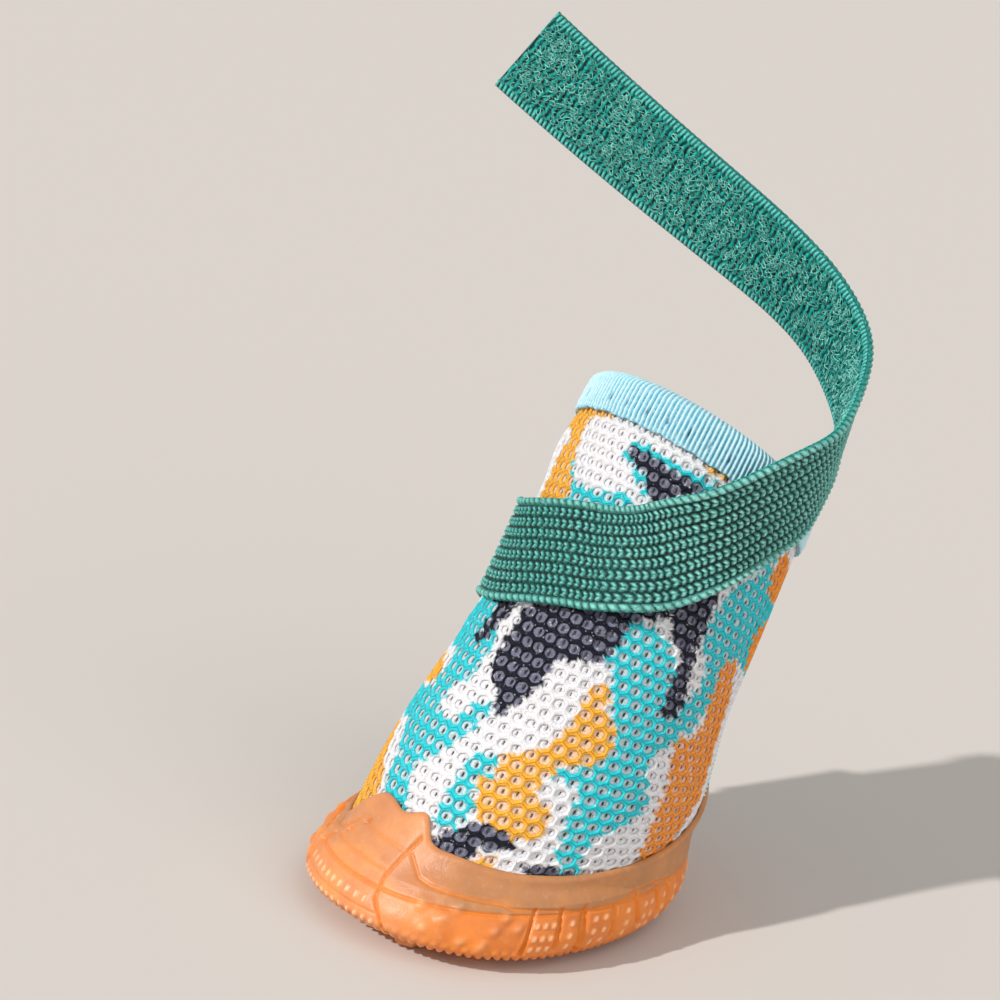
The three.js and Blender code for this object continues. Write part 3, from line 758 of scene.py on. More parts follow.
def near_line(corners, width, both_sides=False):
    """One on a line given as (degrees from the toe, height), falling to nothing at its width."""
    place = (np.abs(from_toe_mm) if both_sides else from_toe_mm)[None, :]
    x = mm_at(np.array([corner[0] for corner in corners], float))
    y = np.array([corner[1] for corner in corners], float)
    nearest = np.full(height.shape, 99.0)
    for x0, y0, x1, y1 in zip(x[:-1], y[:-1], x[1:], y[1:]):
        run, rise = x1 - x0, y1 - y0
        share = ((place - x0) * run + (height - y0) * rise) / (run ** 2 + rise ** 2 + 1e-9)
        share = np.clip(share, 0, 1)
        nearest = np.minimum(nearest, np.hypot(place - x0 - run * share, height - y0 - rise * share))
    return np.clip(1.25 - nearest / width, 0, 1) ** 2


def raise_dot(degrees, at_height, half_wide, half_tall, tall, both_sides=False):
    """A low pad with rounded corners and sloping sides."""
    place = np.abs(from_toe_mm) if both_sides else from_toe_mm
    reach = ((np.abs(place - mm_at(degrees)) / half_wide) ** 3
             + (np.abs(height - at_height) / half_tall) ** 3) ** (1 / 3)
    return tall * np.clip((1.25 - reach) / 0.6, 0, 1) ** 1.3


# Every line's corners are (degrees from the toe, height).
RIDGE_LINE = [(14, 13.0), (17, 12.0), (21, 10.9), (26, 10.5), (32, 10.3), (43, 10.0), (52, 9.8),
              (56, 9.3), (63, 9.2), (72, 9.0), (83, 8.4), (91, 8.3), (96, 9.4), (104, 9.7), (116, 8.9),
              (140, 8.6), (180, 8.4)]
TOE_GROOVES = [[(14, 15), (11.5, 12.6), (10, 10), (11.5, 7.4), (16, 5.4), (20, 3.0)],
               [(-22, 10.2), (-26, 8.5), (-29, 5.5), (-33, 3.0)], [(-9, 13.8), (-11, 13.3)],
               [(-15, 11.9), (-17, 11.3)]]
TOE_BARS = [[(-8, 13.3), (11, 13.1)], [(-19, 10.4), (10, 10.6)], [(-23, 8.3), (10, 8.4)],
            [(-28, 5.5), (15, 5.6)]]
FLEX_GROOVES = [[(63.5, 9.2), (64.5, 3.4)], [(72.5, 9.0), (74.5, 4.0)], [(80.5, 8.5), (83.5, 2.8)],
                [(91, 8.3), (93, 4.4)], [(97.5, 9.4), (102.5, 4.6)], [(107, 9.4), (111.5, 5.2)],
                [(114, 9.0), (118.5, 4.4)], [(123, 8.8), (126, 3.6)]]
FLEX_GROOVES += [[(degrees, 8.6), (degrees + 1.5, 3.2)] for degrees in range(132, 180, 9)]
GROOVE_WIDTHS = [0.42, 0.42, 0.85] + [0.45] * (len(FLEX_GROOVES) - 3)
GROOVE_FEET = [64.5, 74, 82.5, 93, 101, 110, 117.5, 125.5, *range(133, 190, 9)]
LOBE_DOTS = [(55, 8.2), (53, 6.6), (44, 4.9), (51, 4.5), (31, 5.9), (36, 7.4), (60, 6.9), (27, 8.4),
             (39, 8.9)]
LOBE_DOT_RISE = 0.40
TOOTH_PITCH, TOOTH_DEPTH, TOOTH_TOP = 1.42, 0.62, 2.9
RIDGE_CUT, TOE_GROOVE_CUT, TOE_BAR_CUT, FLEX_CUT = 0.26, 0.48, 0.16, 0.68

cuts = near_line(RIDGE_LINE, 0.30, True) * RIDGE_CUT
for groove in TOE_GROOVES:
    cuts = np.maximum(cuts, near_line(groove, 0.34) * TOE_GROOVE_CUT)
for bar in TOE_BARS:
    cuts = np.maximum(cuts, near_line(bar, 0.26) * TOE_BAR_CUT)
for groove, groove_width in zip(FLEX_GROOVES, GROOVE_WIDTHS):
    cuts = np.maximum(cuts, near_line(groove, groove_width, True) * FLEX_CUT)
dots = np.zeros_like(cuts)
for degrees in np.arange(-24, 10, 3.6):
    dots = np.maximum(dots, raise_dot(degrees, 6.7, 0.30, 0.5, 0.20))
for degrees in np.arange(-27, 15, 3.4):
    dots = np.maximum(dots, raise_dot(degrees, 4.4, 0.34, 0.36, 0.24))
bumps = np.zeros_like(cuts)
for degrees, dot_height in LOBE_DOTS:
    away = np.hypot(np.abs(from_toe_mm) - mm_at(degrees), (height - dot_height) * 1.15)
    bumps = np.maximum(bumps, LOBE_DOT_RISE * np.exp(-(away / 0.85) ** 2))
# Dots stand in columns of three between the flex grooves: three columns where the side begins, two
# in a wide rib and one in a narrow one.
for left_edge, right_edge in zip(GROOVE_FEET[:-1], GROOVE_FEET[1:]):
    shares = (0.35, 0.68) if right_edge - left_edge > 8.5 else (0.5,)
    if left_edge < 70:
        shares = (0.24, 0.52, 0.8)
    for share in shares:
        for dot_height in (4.2, 5.6, 7.2):
            degrees = left_edge + (right_edge - left_edge) * share - (dot_height - 4) * 0.25
            dots = np.maximum(dots, raise_dot(degrees, dot_height, 0.36, 0.40, 0.22, True))
tooth = np.abs(np.cos(from_toe_mm * np.pi / TOOTH_PITCH))[None, :] ** 0.7
second_tooth = np.abs(np.sin(from_toe_mm * np.pi / TOOTH_PITCH))[None, :] ** 1.2
tooth_height = height - toe_spring(sole_grid[wall_slice, :, 1]) * (height < 8)
teeth = (0.75 - tooth) * np.clip((TOOTH_TOP - tooth_height) / 0.4, 0, 1) * TOOTH_DEPTH
teeth -= second_tooth * bell(tooth_height, TOOTH_TOP + 0.45, 0.42) * 0.22
lobe_swell = 0.40 * bell(from_toe_mm, mm_at(34), 8)
lobe_waves = 0.12 * np.sin(from_toe_mm * 0.9) * bell(from_toe_mm, mm_at(40), 9)
lobe = (lobe_swell + lobe_waves)[None, :] * bell(height, 6.4, 2.6)
rib_pillow = 0.30 * bell(height, 5.6, 2.2) * (np.abs(from_toe_mm) > mm_at(63))[None, :]

edge_round = np.gradient(sole_grid, axis=1)
edge_round[:, 0] = sole_grid[:, 1] - sole_grid[:, -1]
edge_round[:, -1] = sole_grid[:, 0] - sole_grid[:, -2]
edge_up = np.gradient(sole_grid, axis=0)
sole_normal = np.cross(edge_up, edge_round)
sole_normal /= np.linalg.norm(sole_normal, axis=-1, keepdims=True) + 1e-12
relief = lobe + rib_pillow + dots + bumps - cuts - teeth
sole_grid[wall_slice] += sole_normal[wall_slice] * relief[..., None]

gum_tone = np.broadcast_to(GUM, sole_grid.shape).copy()
above_ridge, cut_shade, dot_highlight = np.zeros((3, *sole_grid.shape[:2]))
ridge_mm = mm_at(np.array([corner[0] for corner in RIDGE_LINE], float))
ridge_height = np.interp(np.abs(from_toe_mm), ridge_mm, [corner[1] for corner in RIDGE_LINE])
ridge_height = ridge_height + 3 * bell(from_toe_mm, 0, 6)
above_ridge[wall_slice] = np.clip((height - ridge_height[None, :]) / 0.5, 0, 1)
above_ridge[last_band:] = 1
side_share = np.clip((np.abs(from_toe_mm) - 8) / 10, 0, 1)[None, :, None]
gum_tone += (GUM_SIDE - gum_tone) * side_share * 0.8
gum_tone += (GUM_RIM + (GUM_RIM_SIDE - GUM_RIM) * side_share - gum_tone) * above_ridge[..., None]
# The cuts and the gaps between the teeth are painted darker and deeper orange as shade, and the raised
# dots and lobe bumps paler as highlight.
cut_shade[wall_slice] = np.clip((cuts + np.maximum(teeth, 0) * 0.6) / 0.42, 0, 1)
dot_highlight[wall_slice] = np.clip(dots / 0.2, 0, 1) + (bumps / LOBE_DOT_RISE) ** 2 * 0.45
gum_tone += (GUM_CUT_SHADE - gum_tone) * cut_shade[..., None] * 0.92
gum_tone += (GUM_HIGHLIGHT - gum_tone) * dot_highlight[..., None] * 0.45

gum = Finish("gum_rubber", roughness=0.42, specular_ior_level=0.5, subsurface_weight=0.16,
             subsurface_radius=(0.0020, 0.0010, 0.0005), subsurface_scale=1.0)
gum_moulding = gum.noise(160, 3, 0.6)
gum_grain = gum.noise(3600, 2, 0.5)
gum_paint = gum.layers(
    gum.tone(),
    (gum_moulding, 2.0, -0.6, 1.0, "#FFE3C4", "SOFT_LIGHT"),
    (gum.noise(900, 4, 0.7), 4.0, -2.2, 0.14, "#FFE0C2", "SCREEN"))
gum.use(base_color=gum_paint, roughness=gum_moulding * 0.3 + 0.28,
        normal=gum.bump(gum_grain, 0.00006, 0.6, gum.bump(gum_moulding, 0.0006, 0.45)))

cup = add_piece("cup_sole_moulding", sole_grid, tube(len(sole_grid), SOLE_COLUMNS), gum, gum_tone)
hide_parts("cup_sole")

# ------------------------------------------------------------------ tread lugs
# Six rows of six-sided lugs stand under the sole, each with a stepped, bevelled foot. They are part
# of the same moulding, and are a piece of their own here because they carry no relief.

# Each row's place along the sole, half its span, the number of lugs and their radius.
LUG_ROWS = [(-20.5, 6, 3, 2.6), (-14, 12.5, 5, 2.9), (-7.5, 14.5, 5, 3.2), (0, 13, 5, 2.9),
            (11, 12, 4, 3.0), (17, 9, 3, 3.2)]
# Shares of the radius and heights, from the middle of the foot up to the sole.
LUG_PROFILE = [(0.02, 0.25), (0.30, 0.25), (0.36, 0.0), (0.80, 0.0), (0.86, 0.06), (0.93, 0.8),
               (1.0, 1.8), (1.0, 2.4)]
LUG_SIDES, LUG_ROUNDED = 36, 0.25
lug_bearing = np.radians(-np.arange(LUG_SIDES) * 10)
lug_radius = np.cos(np.pi / 6) / np.cos((lug_bearing + np.pi / 6) % (np.pi / 3) - np.pi / 6)
lug_radius = LUG_ROUNDED * 0.9 + (1 - LUG_ROUNDED) * lug_radius
lug_points, lug_faces = [], []
for lug_y, half_span, count, radius in LUG_ROWS:
    for lug_x in np.linspace(-half_span, half_span, count):
        lug_faces += tube(len(LUG_PROFILE), LUG_SIDES, len(lug_points))
        for share, up in LUG_PROFILE:
            lug_points += np.stack([lug_x + share * radius * lug_radius * np.cos(lug_bearing),
                                    lug_y + share * radius * lug_radius * np.sin(lug_bearing),
                                    np.full(LUG_SIDES, up + toe_spring(lug_y))], -1).tolist()
tread = Finish("tread_rubber", roughness=0.5, specular_ior_level=0.5)
tread_tone = tread.layers(colour("#DD8646"), (tread.noise(500, 3), 1.4, -0.3, 1.0, "#F2A870", "MIX"))
tread.use(base_color=tread_tone, normal=tread.bump(tread.noise(2400, 3, 0.6), 0.0001, 0.6))
lugs = add_piece("tread_lugs", lug_points, lug_faces, tread)
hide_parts("cup_sole")

# ------------------------------------------------------------------ collar binding
# A folded band of soft rib knit is sewn over the sleeve's cut edge with a cover stitch. Its needle
# holes sink in as a row of dots half-way up, painted dark as shade, and its lower hem is fuzzier.
# The rib valleys and the hem's low stitches are painted with shade, and the rib crests with a pale
# highlight.

BINDING_SECTION = {
    "proud": (.30, .80, 1.05, 1.05, .80, -.90, -2.70, -2.95, -2.95, -2.70, -2.10, -2.10, .30, .30),
    "at": (.914, .912, .925, .957, .983, .998, .983, .957, .925, .912, .914, .982, .982, .914),
}
BINDING_COLUMNS, RIB_COUNT, HOLE_COUNT = 1248, 156, 34
section_steps = np.concatenate([np.linspace(0, 5, 26), np.linspace(5.2, 10, 10), [10.5, 11, 11.5, 12]])
binding_proud = through(np.arange(14), BINDING_SECTION["proud"], section_steps)
binding_at = through(np.arange(14), BINDING_SECTION["at"], section_steps)
# The last corners, inside the fold, are sharp.
corner_rows = section_steps >= 9.99
for column, key in ((binding_proud, "proud"), (binding_at, "at")):
    column[corner_rows] = np.interp(section_steps[corner_rows], np.arange(14), BINDING_SECTION[key])
binding_turn = 180 - np.arange(BINDING_COLUMNS)[:, None] * 360 / BINDING_COLUMNS
binding_angle = np.radians(binding_turn)
rib_wave = 0.5 + 0.5 * np.cos(binding_angle * RIB_COUNT)
outside_rows = np.clip(1 - np.abs(section_steps - 2.6) / 3.4, 0, 1) ** 0.4
loop_rows = 0.5 + 0.5 * np.sin(section_steps * 9)
hem = bell(section_steps, 0.9, 0.45)
hem_zigzag = 0.5 + 0.5 * np.sin(binding_angle * RIB_COUNT / 2 + section_steps * 5)
hole = np.clip(np.cos(binding_angle * HOLE_COUNT) * 9 - 8, 0, 1) * bell(section_steps, 2.45, 0.17)
binding_rise = (
    (rib_wave - 0.6) * 0.42 * outside_rows * (1 - 0.6 * hem)
    + 0.05 * loop_rows * outside_rows
    + 0.16 * hem * hem_zigzag
    - 0.42 * hole
    - 0.10 * bell(section_steps, 1.7, 0.2)
)
wander = 0.0012 * np.sin(binding_angle * 23) + 0.001 * np.sin(binding_angle * 61)
binding_points = sleeve(binding_turn, binding_at + wander * bell(section_steps, 0.6, 0.8),
                        binding_proud + binding_rise + folds(binding_turn, binding_at) * 0.6)
valley_shade = np.clip(1 - rib_wave * 2.1, 0, 1) * outside_rows
crest_highlight = np.clip(rib_wave * 2 - 1.2, 0, 1) * outside_rows
# Painted light over the knit's aqua: shade in the rib valleys, the needle holes and the hem's low
# stitches, and a pale highlight on the rib crests.
binding_tone = np.broadcast_to(linear("#86CCDD"), binding_points.shape).copy()
for painted_light, share in (("#0F7397", valley_shade * 0.95), ("#E6F7FA", crest_highlight * 0.8),
                   ("#06567F", np.clip(hole * 1.3, 0, 1)), ("#0F7397", hem * (1 - hem_zigzag) * 0.6)):
    binding_tone += (linear(painted_light) - binding_tone) * share[..., None]
knit = Finish("rib_knit", roughness=0.75, sheen_weight=0.45, sheen_roughness=0.4)
knit_fuzz = knit.noise(3800, 3, 0.7)
knit_tone = knit.layers(
    knit.tone(),
    (knit.noise(1500, 4, 0.75), 3.4, -1.6, 0.5, "#EAF8FA", "MIX"),
    (knit_fuzz, 1.6, -0.4, 1.0, "#FFFFFF", "SOFT_LIGHT"))
knit.use(base_color=knit_tone, normal=knit.bump(knit_fuzz, 0.00015, 0.8))
binding_faces = lattice(BINDING_COLUMNS, len(section_steps), True, True)[:, ::-1].tolist()
binding = add_piece("collar_binding_knit", binding_points, binding_faces, knit, binding_tone)
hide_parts("collar_binding")

# ------------------------------------------------------------------ back seam
# The sleeve's one seam runs up its heel side, overlocked with light blue yarn: a low ridge of
# slanting stitches side by side.

SEAM_TURN, SEAM_FROM, SEAM_TO, SEAM_HALF = (44, 50), 0.20, 0.905, 2.6
SEAM_CLIMB, SEAM_STITCH = 62, 0.75  # the leg's height and a stitch's pitch, in millimetres
seam_at = np.linspace(SEAM_FROM, SEAM_TO, 520)[:, None]
seam_across = np.linspace(-1, 1, 15)[None, :]
stitch = 0.5 + 0.5 * np.sin(seam_at * SEAM_CLIMB / SEAM_STITCH * 2 * np.pi + seam_across * 2.2)
seam_height = (1 - seam_across ** 2) * (0.42 + 0.22 * stitch) - 0.15
seam_turn = np.interp(seam_at, [SEAM_FROM, 0.62], SEAM_TURN) + seam_across * SEAM_HALF
seam_back = seam_turn[:, -2:0:-1]
seam_top = sleeve(seam_turn, seam_at, 0.15 + seam_height + folds(seam_turn, seam_at))
seam_under = sleeve(seam_back, seam_at, -0.35 + folds(seam_back, seam_at))
seam_loop = np.concatenate([seam_top, seam_under], 1)
seam_share = np.concatenate([stitch, np.zeros(seam_back.shape)], 1)[..., None]
seam_tone = linear("#4FAFCB") * (1 - seam_share) + linear("#C4EDF4") * seam_share
overlock = Finish("overlock_yarn", roughness=0.7, sheen_weight=0.3)
overlock.use(base_color=overlock.tone(), normal=overlock.bump(overlock.noise(5000, 2), 0.0001, 0.7))
seam = add_piece("back_seam", seam_loop, tube(*seam_loop.shape[:2]), overlock, seam_tone)

# ------------------------------------------------------------------ strap
# One length of 15 mm hook-and-loop webbing, woven in green, is bar-tacked to the leg, wraps once
# round the ankle and runs on past the heel. Its outer face is a chevron weave between two beaded
# selvedges, and its end is cut straight. The inner face and its pile follow as pieces of their own.

STRAP_WIDTH, STRAP_THICKNESS = 15, 1.1
WRAP = {
    "around": (86, 120, 180, 222, 246, 275, 303, 324, 342),
    "at": (.6, .6, .605, .621, .619, .655, .702, .795, .907),
    "air": (.15, .15, .1, .1, .05, .25, .2, .15, .5),
    "lean": (0, 0, 4, 3, 10, 5, -6, 17, 16),
}
TAIL = {
    "along": (8, 16, 24, 32, 40, 48, 60, 100.5),
    "heading": (99, 116, 130, 154, 174, 190, 202, 214),
    "climb": (22, 29, 32.5, 32.5, 31, 27.5, 26.5, 33),
    "lean": (13, 10, 7, 2.5, -6.5, -11.5, -11, -4),
}
STRAP_STEPS, ROUTE_STEPS = 1440, 700


def unit(vectors):
    """Each vector divided by its length."""
    return vectors / np.linalg.norm(vectors, axis=-1, keepdims=True)


def squared(vectors, travel):
    """What is left of each vector across the travel, made one long."""
    return unit(vectors - travel * (vectors * travel).sum(-1, keepdims=True))


def rolled(vectors, axis, degrees):
    """Vectors turned about an axis: Rodrigues' v cos a + (k x v) sin a + k (k.v) (1 - cos a)."""
    turn = np.radians(degrees)[:, None]
    along_axis = axis * (axis * vectors).sum(-1, keepdims=True)
    across_axis = np.cross(axis, vectors)
    return vectors * np.cos(turn) + across_axis * np.sin(turn) + along_axis * (1 - np.cos(turn))


def wrap_middle(around):
    """The strap's middle on the leg, a little air off it, and more where the strap leans."""
    at, air, lean = (through(WRAP["around"], WRAP[key], around) for key in ("at", "air", "lean"))
    return sleeve(around, at, RIM_LAP + air + STRAP_WIDTH / 2 * np.abs(np.sin(np.radians(lean))))


wrap_around = np.linspace(WRAP["around"][0], WRAP["around"][-1], ROUTE_STEPS)
wrap_points = wrap_middle(wrap_around)
ahead = np.minimum(wrap_around + 0.5, WRAP["around"][-1])
behind = np.maximum(wrap_around - 0.5, WRAP["around"][0])
wrap_travel = unit(wrap_middle(ahead) - wrap_middle(behind))
wrap_at = through(WRAP["around"], WRAP["at"], wrap_around)
leg_round = sleeve(wrap_around + 0.5, wrap_at, RIM_LAP) - sleeve(wrap_around - 0.5, wrap_at, RIM_LAP)
leg_up = sleeve(wrap_around, wrap_at + 0.01, RIM_LAP) - sleeve(wrap_around, wrap_at - 0.01, RIM_LAP)
wrap_lean = through(WRAP["around"], WRAP["lean"], wrap_around)
wrap_out = rolled(squared(np.cross(leg_round, leg_up), wrap_travel), wrap_travel, wrap_lean)

# The tail leaves the leg in the wrap's own direction, and after a handover it hangs by itself.
HANDOVER = 12
last_travel = wrap_travel[-1]
first_heading = np.degrees(np.arctan2(last_travel[1], last_travel[0]))
first_climb = np.degrees(np.arcsin(last_travel[2]))
tail_length = TAIL["along"][-1]
tail_along = (np.arange(ROUTE_STEPS) + 0.5) / ROUTE_STEPS * tail_length
tail_table = (0, *TAIL["along"])
heading = np.radians(through(tail_table, (first_heading, *TAIL["heading"]), tail_along))
climb = np.radians(through(tail_table, (first_climb, *TAIL["climb"]), tail_along))
tail_lean = through(tail_table, (0, *TAIL["lean"]), tail_along)
tail_travel = np.stack(
    [np.cos(heading) * np.cos(climb), np.sin(heading) * np.cos(climb), np.sin(climb)], -1)
tail_points = wrap_points[-1] + np.cumsum(tail_travel * tail_length / ROUTE_STEPS, axis=0)
handover = np.clip(tail_along / HANDOVER, 0, 1)[:, None]
hanging_out = np.stack([np.sin(heading), -np.cos(heading), np.zeros_like(heading)], -1)
tail_out = squared(wrap_out[-1] * (1 - handover) + hanging_out * handover, tail_travel)
tail_out = rolled(tail_out, tail_travel, tail_lean * handover[:, 0])


def eased(column, reach=16):
    """A running mean down a column of vectors, with the end rows repeated."""
    padded = np.concatenate([np.repeat(column[:1], reach, 0), column, np.repeat(column[-1:], reach, 0)])
    total = np.cumsum(np.concatenate([np.zeros((1, 3)), padded]), axis=0)
    return (total[2 * reach + 1:] - total[:-2 * reach - 1]) / (2 * reach + 1)


route = np.concatenate([wrap_points, tail_points])
route_travel = eased(eased(np.concatenate([wrap_travel, tail_travel])))
route_out = eased(eased(np.concatenate([wrap_out, tail_out])))
route_run = np.concatenate([[0], np.cumsum(np.linalg.norm(np.diff(route, axis=0), axis=1))])
strap_length = route_run[-1]


def along_route(distance):
    """Middle, outward and across directions of the strap at distances from its sewn end."""
    middle, travel, out = (np.stack([np.interp(distance, route_run, column[:, i]) for i in range(3)], -1)
                           for column in (route, route_travel, route_out))
    travel = unit(travel)
    out = squared(out, travel)
    return middle, out, np.cross(out, travel)


def band(run, mm, rise, back_mm, back_rise):
    """Rings across the strap: a face of points at distances from its middle line and outwards, and
    two points behind it."""
    middle, out, across = (column[:, None] for column in along_route(run))
    face = middle + across * mm[..., None] + out * rise[..., None]
    backs = [middle + across * back_mm * side + out * back_rise for side in (1, -1)]
    return np.concatenate([face, *backs], 1)


strap_run = np.linspace(0, strap_length, STRAP_STEPS)[:, None]

FACE_STEPS = 62
RIBS_ACROSS, STITCH_PITCH, BEAD_PITCH, BEAD_WIDTH = 8, 1.02, 1.09, 1.1
TACK_MIDDLE, TACK_HALF, TACK_PITCH, CUT_SLOPE = 3.2, 2.2, 1.1, 0.5
across_mm = np.linspace(-1, 1, FACE_STEPS)[None, :] * STRAP_WIDTH / 2
inner_half = STRAP_WIDTH / 2 - BEAD_WIDTH
rib_place = (across_mm / inner_half * 0.5 + 0.5) * RIBS_ACROSS
rib_fold = np.abs(rib_place % 1 - 0.5) * 2
rib_offset = np.floor(rib_place) % 2 * 0.5
weave_wobble = 0.10 * np.sin(strap_run * 0.9) + 0.06 * np.sin(strap_run * 2.3 + 1)
chevron = strap_run / STITCH_PITCH + rib_fold * 0.55 + rib_offset + weave_wobble
stitch_crown = np.abs(np.sin(np.pi * chevron)) ** 0.9
rib_crown = (1 - rib_fold ** 3) * (0.55 + 0.45 * np.sin(np.pi * rib_fold))
woven = stitch_crown * rib_crown
beads = np.abs(np.sin(np.pi * (strap_run / BEAD_PITCH + across_mm * 0.35 + 0.6))) ** 0.6
bead_off = (np.abs(across_mm) - inner_half - BEAD_WIDTH / 2) / (BEAD_WIDTH / 2)
bead_round = np.sqrt(np.clip(1 - bead_off ** 2, 0, 1))
in_bead = np.clip((np.abs(across_mm) - inner_half) / 0.12, 0, 1)
bead_gap = bell(np.abs(across_mm), inner_half, 0.2)
face_rise = (0.62 * woven - 0.42) * (1 - in_bead) + (0.46 * beads * bead_round - 0.14) * in_bead
face_rise = face_rise - 0.16 * bead_gap

bar_tack = np.abs(strap_run - TACK_MIDDLE) < TACK_HALF
tack_wave = 0.5 + 0.5 * np.sin(across_mm * 2 * np.pi / TACK_PITCH + 2.2 * strap_run)
face_rise = np.where(bar_tack, 0.12 + 0.16 * tack_wave, face_rise)
face_rise = face_rise * np.clip((strap_length - strap_run) / CUT_SLOPE, 0, 1)
squeeze = 1 - 0.014 * (1 - beads)
strap_loop = band(strap_run[:, 0], across_mm * squeeze, STRAP_THICKNESS - 0.10 + face_rise,
                  STRAP_WIDTH / 2 - 0.12, 0.3)

GREEN, GREEN_LIGHT, GREEN_SHADE = linear("#009089"), linear("#B0FDF2"), linear("#001514")
# The stitch crowns and the beads' crests are painted with a pale highlight, and the gaps between stitches
# and beads, and the groove beside the beads, with near-black shade.
stitch_highlight = np.clip(woven * 4.2 - 2.9, 0, 1) * (1 - in_bead) + beads * bead_round * in_bead * 0.7
gap_shade = np.clip(1.95 - woven * 2.7, 0, 1) * (1 - in_bead) + (1 - beads) * in_bead
gap_shade = np.maximum(gap_shade, bead_gap * 0.7)
# The face is painted paler over two stretches of its run, as light falling there, most on the
# stitch crowns.
lit_stretches = 0.46 * bell(strap_run, 92, 22) + 0.16 * bell(strap_run, 46, 12)
highlight_share = np.clip(stitch_highlight * 0.72 + lit_stretches * (0.4 + woven), 0, 1)
face_tone = GREEN + (GREEN_LIGHT - GREEN) * highlight_share[..., None]
face_tone = face_tone + (GREEN_SHADE - face_tone) * np.clip(gap_shade * 1.05, 0, 0.97)[..., None]
tack_tone = GREEN + (GREEN_LIGHT - GREEN) * (tack_wave * 0.45)[..., None]
face_tone = np.where(bar_tack[..., None], tack_tone, face_tone)


def with_backs(tone):
    """A face's colours, and a plain darker green for the two points behind each of its rows."""
    return np.concatenate([tone, np.broadcast_to(GREEN * 0.6, (len(tone), 2, 3))], 1)


webbing = Finish("woven_webbing", roughness=0.36, specular_ior_level=0.4)
webbing_yarn = webbing.noise(5200, 3, 0.65)
webbing_glint = webbing.noise(2400, 3, 0.7)
webbing_tone = webbing.layers(
    webbing.tone(),
    (webbing_yarn, 1.5, -0.4, 1.0, "#C8FFF2", "SOFT_LIGHT"),
    (webbing.noise(300, 2, 0.5), 0.5, -0.15, 1.0, "#0E7F78", "MIX"),
    # Pale flecks by noise are a painted highlight, glints on the yarn; where that noise is low the colour
    # is darker.
    (webbing_glint, 9.0, -5.3, 0.60, "#8CF0E0", "MIX"),
    (webbing_glint, -7.0, 3.1, 0.85, "#02302E", "MULTIPLY"))
webbing.use(base_color=webbing_tone,
            normal=webbing.bump(webbing_yarn, 0.00018, 0.9, webbing.bump(webbing_glint, 0.0005, 0.8)))
strap_faces = [face[::-1] for face in tube(*strap_loop.shape[:2])]
strap = add_piece("strap_weave", strap_loop, strap_faces, webbing, with_backs(face_tone))
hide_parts("strap")

# ------------------------------------------------------------------ strap: the inner face
# The inner face is the same webbing's ground, woven in one with the outer face: fine crosswise
# rows, and a tight edge on each side.

GROUND_STEPS, GROUND_RUNS, GROUND_PITCH, EDGE_BAND = 34, 1380, 0.95, 1.3
EDGE_PITCH = 0.70
ground_run = np.linspace(0, strap_length - 0.05, GROUND_RUNS)[:, None]
ground_mm = np.linspace(-1, 1, GROUND_STEPS)[None, :] * (STRAP_WIDTH / 2 - 0.05)
edge_band = np.clip((np.abs(ground_mm) - STRAP_WIDTH / 2 + EDGE_BAND) / 0.3, 0, 1)
cross_rows = 0.5 + 0.5 * np.sin(2 * np.pi * ground_run / GROUND_PITCH
                                + 1.1 * np.sin(ground_mm * 2.1) + ground_mm * 0.4)
yarn_ticks = 0.5 + 0.5 * np.sin(ground_mm * 5.2 + 2.2 * np.sin(ground_run * 1.3))
edge_beads = np.abs(np.sin(np.pi * (ground_run / EDGE_PITCH + np.abs(ground_mm) * 0.25))) ** 0.9
ground_rise = 0.36 * cross_rows * (0.4 + 0.6 * yarn_ticks) * (1 - edge_band)
ground_rise = ground_rise + 0.42 * edge_beads * edge_band
ground_edge = np.sqrt(np.clip(1 - (np.abs(ground_mm) / (STRAP_WIDTH / 2)) ** 14, 0, 1))
ground_loop = band(ground_run[:, 0], ground_mm, 0.34 - (ground_rise + 0.12) * ground_edge,
                   STRAP_WIDTH / 2 - 0.3, 0.45)
# The ground's cross rows and edge beads are painted lighter on their crests as highlight, and dark
# between them as shade.
ground_lit = (np.clip(cross_rows * (0.5 + 0.5 * yarn_ticks) * 1.7 - 0.35, 0, 1) * (1 - edge_band)
                + np.clip(edge_beads * 1.6 - 0.6, 0, 1) * edge_band)
ground_shade = GREEN_SHADE * 1.6
ground_tone = (ground_shade + (GREEN * 2.3 - ground_shade) * np.clip(ground_lit, 0, 1)[..., None]
               + (GREEN_LIGHT - GREEN) * (edge_beads ** 3 * edge_band * 0.42)[..., None])
ground = add_piece("strap_pile_ground", ground_loop, tube(*ground_loop.shape[:2]), webbing,
                   with_backs(ground_tone))
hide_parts("strap")

# ------------------------------------------------------------------ strap: the pile
# Small round loops of fine green yarn are knitted through the ground, between its tight edges, and
# lean every way. Each is painted a random share paler, as sheen where it catches the light. On the
# leg they are pressed flat. Past the heel the pile stands free, and there it is thickest.

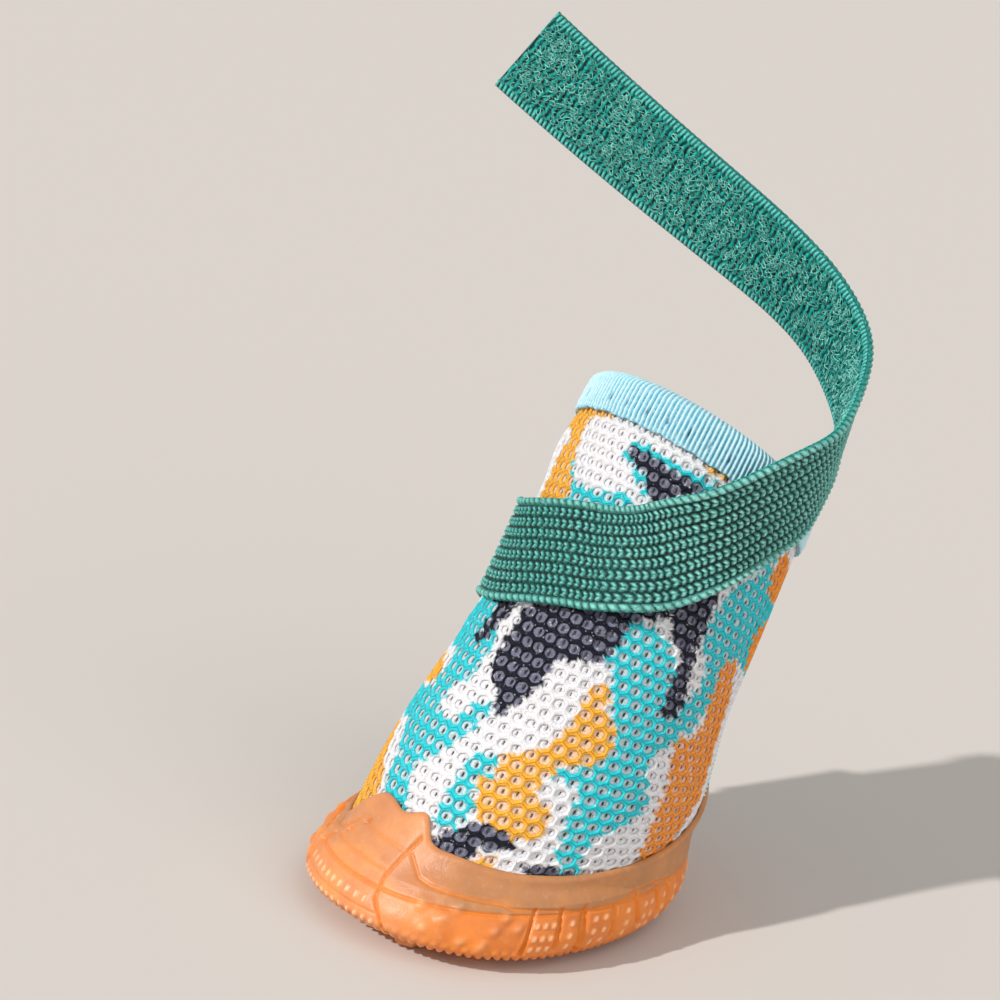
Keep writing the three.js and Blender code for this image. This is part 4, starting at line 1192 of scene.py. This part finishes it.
LOOP_COUNT, LOOP_SIDES, LOOP_BENDS, LOOP_THICK = 3900, 3, 6, 0.068
PILE_FREE, PILE_FROM, PILE_STOP, PILE_HALF = 86, 88, strap_length - 0.4, 5.7
pile_draw = np.random.default_rng(11)
loop_run = pile_draw.uniform(1.0, PILE_STOP, LOOP_COUNT)
is_free = pile_draw.uniform(0, 1, LOOP_COUNT) < 0.6
loop_run = np.where(is_free, pile_draw.uniform(PILE_FROM, PILE_STOP, LOOP_COUNT), loop_run)
loop_off = pile_draw.uniform(-PILE_HALF, PILE_HALF, LOOP_COUNT)
loop_middle, loop_out, loop_across = along_route(loop_run)
loop_travel = np.cross(loop_across, loop_out)
freedom = np.clip((loop_run - PILE_FREE) / 6, 0.2, 1)
loop_turn = pile_draw.normal(0.35, 0.55, LOOP_COUNT)
loop_tall = pile_draw.uniform(0.30, 0.75, LOOP_COUNT) * freedom
loop_wide = pile_draw.uniform(0.26, 0.50, LOOP_COUNT)
loop_lean = pile_draw.uniform(0.9, 2.2, LOOP_COUNT)
loop_lean = loop_lean * pile_draw.choice([-1, 1], LOOP_COUNT, p=[0.25, 0.75])
loop_side = loop_across * np.cos(loop_turn)[:, None] + loop_travel * np.sin(loop_turn)[:, None]
loop_fore = np.cross(loop_out, loop_side)
loop_base = loop_middle + loop_across * loop_off[:, None] + loop_out * 0.10
bend = np.linspace(0, np.pi, LOOP_BENDS)[None, :, None]
yarn_turn = (np.arange(LOOP_SIDES) * 2 * np.pi / LOOP_SIDES)[None, None, :]
out_reach = LOOP_THICK * np.cos(yarn_turn)
sideways = np.cos(bend) * (loop_wide[:, None, None] + out_reach)
inwards = np.sin(bend) * (loop_tall[:, None, None] + out_reach)
forwards = LOOP_THICK * np.sin(yarn_turn) + (loop_lean * loop_tall)[:, None, None] * np.sin(bend)
loop_base, loop_side, loop_out, loop_fore = (
    column[:, None, None] for column in (loop_base, loop_side, loop_out, loop_fore))
loop_shape = (loop_base + loop_side * sideways[..., None] - loop_out * inwards[..., None]
              + loop_fore * forwards[..., None])
loop_first = np.arange(LOOP_COUNT)[:, None, None] * (LOOP_BENDS * LOOP_SIDES)
loop_faces = (lattice(LOOP_BENDS, LOOP_SIDES, close_columns=True)[None] + loop_first).reshape(-1, 4)
# Each loop gets a random share of a pale painted sheen over its green.
loop_sheen = pile_draw.uniform(0, 1.1, (LOOP_COUNT, 1, 1)) ** 1.4
loop_tone = GREEN * 1.2 + (linear("#9FEBDD") - GREEN) * loop_sheen
loop_tone = np.broadcast_to(loop_tone, (LOOP_COUNT, LOOP_BENDS * LOOP_SIDES, 3))
pile = Finish("loop_pile", roughness=0.4, sheen_weight=0.2)
pile.use(base_color=pile.tone(), normal=pile.bump(pile.noise(6000, 2), 0.0001, 0.5))
loops = add_piece("strap_pile_loops", loop_shape, loop_faces, pile, loop_tone)
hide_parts("strap")
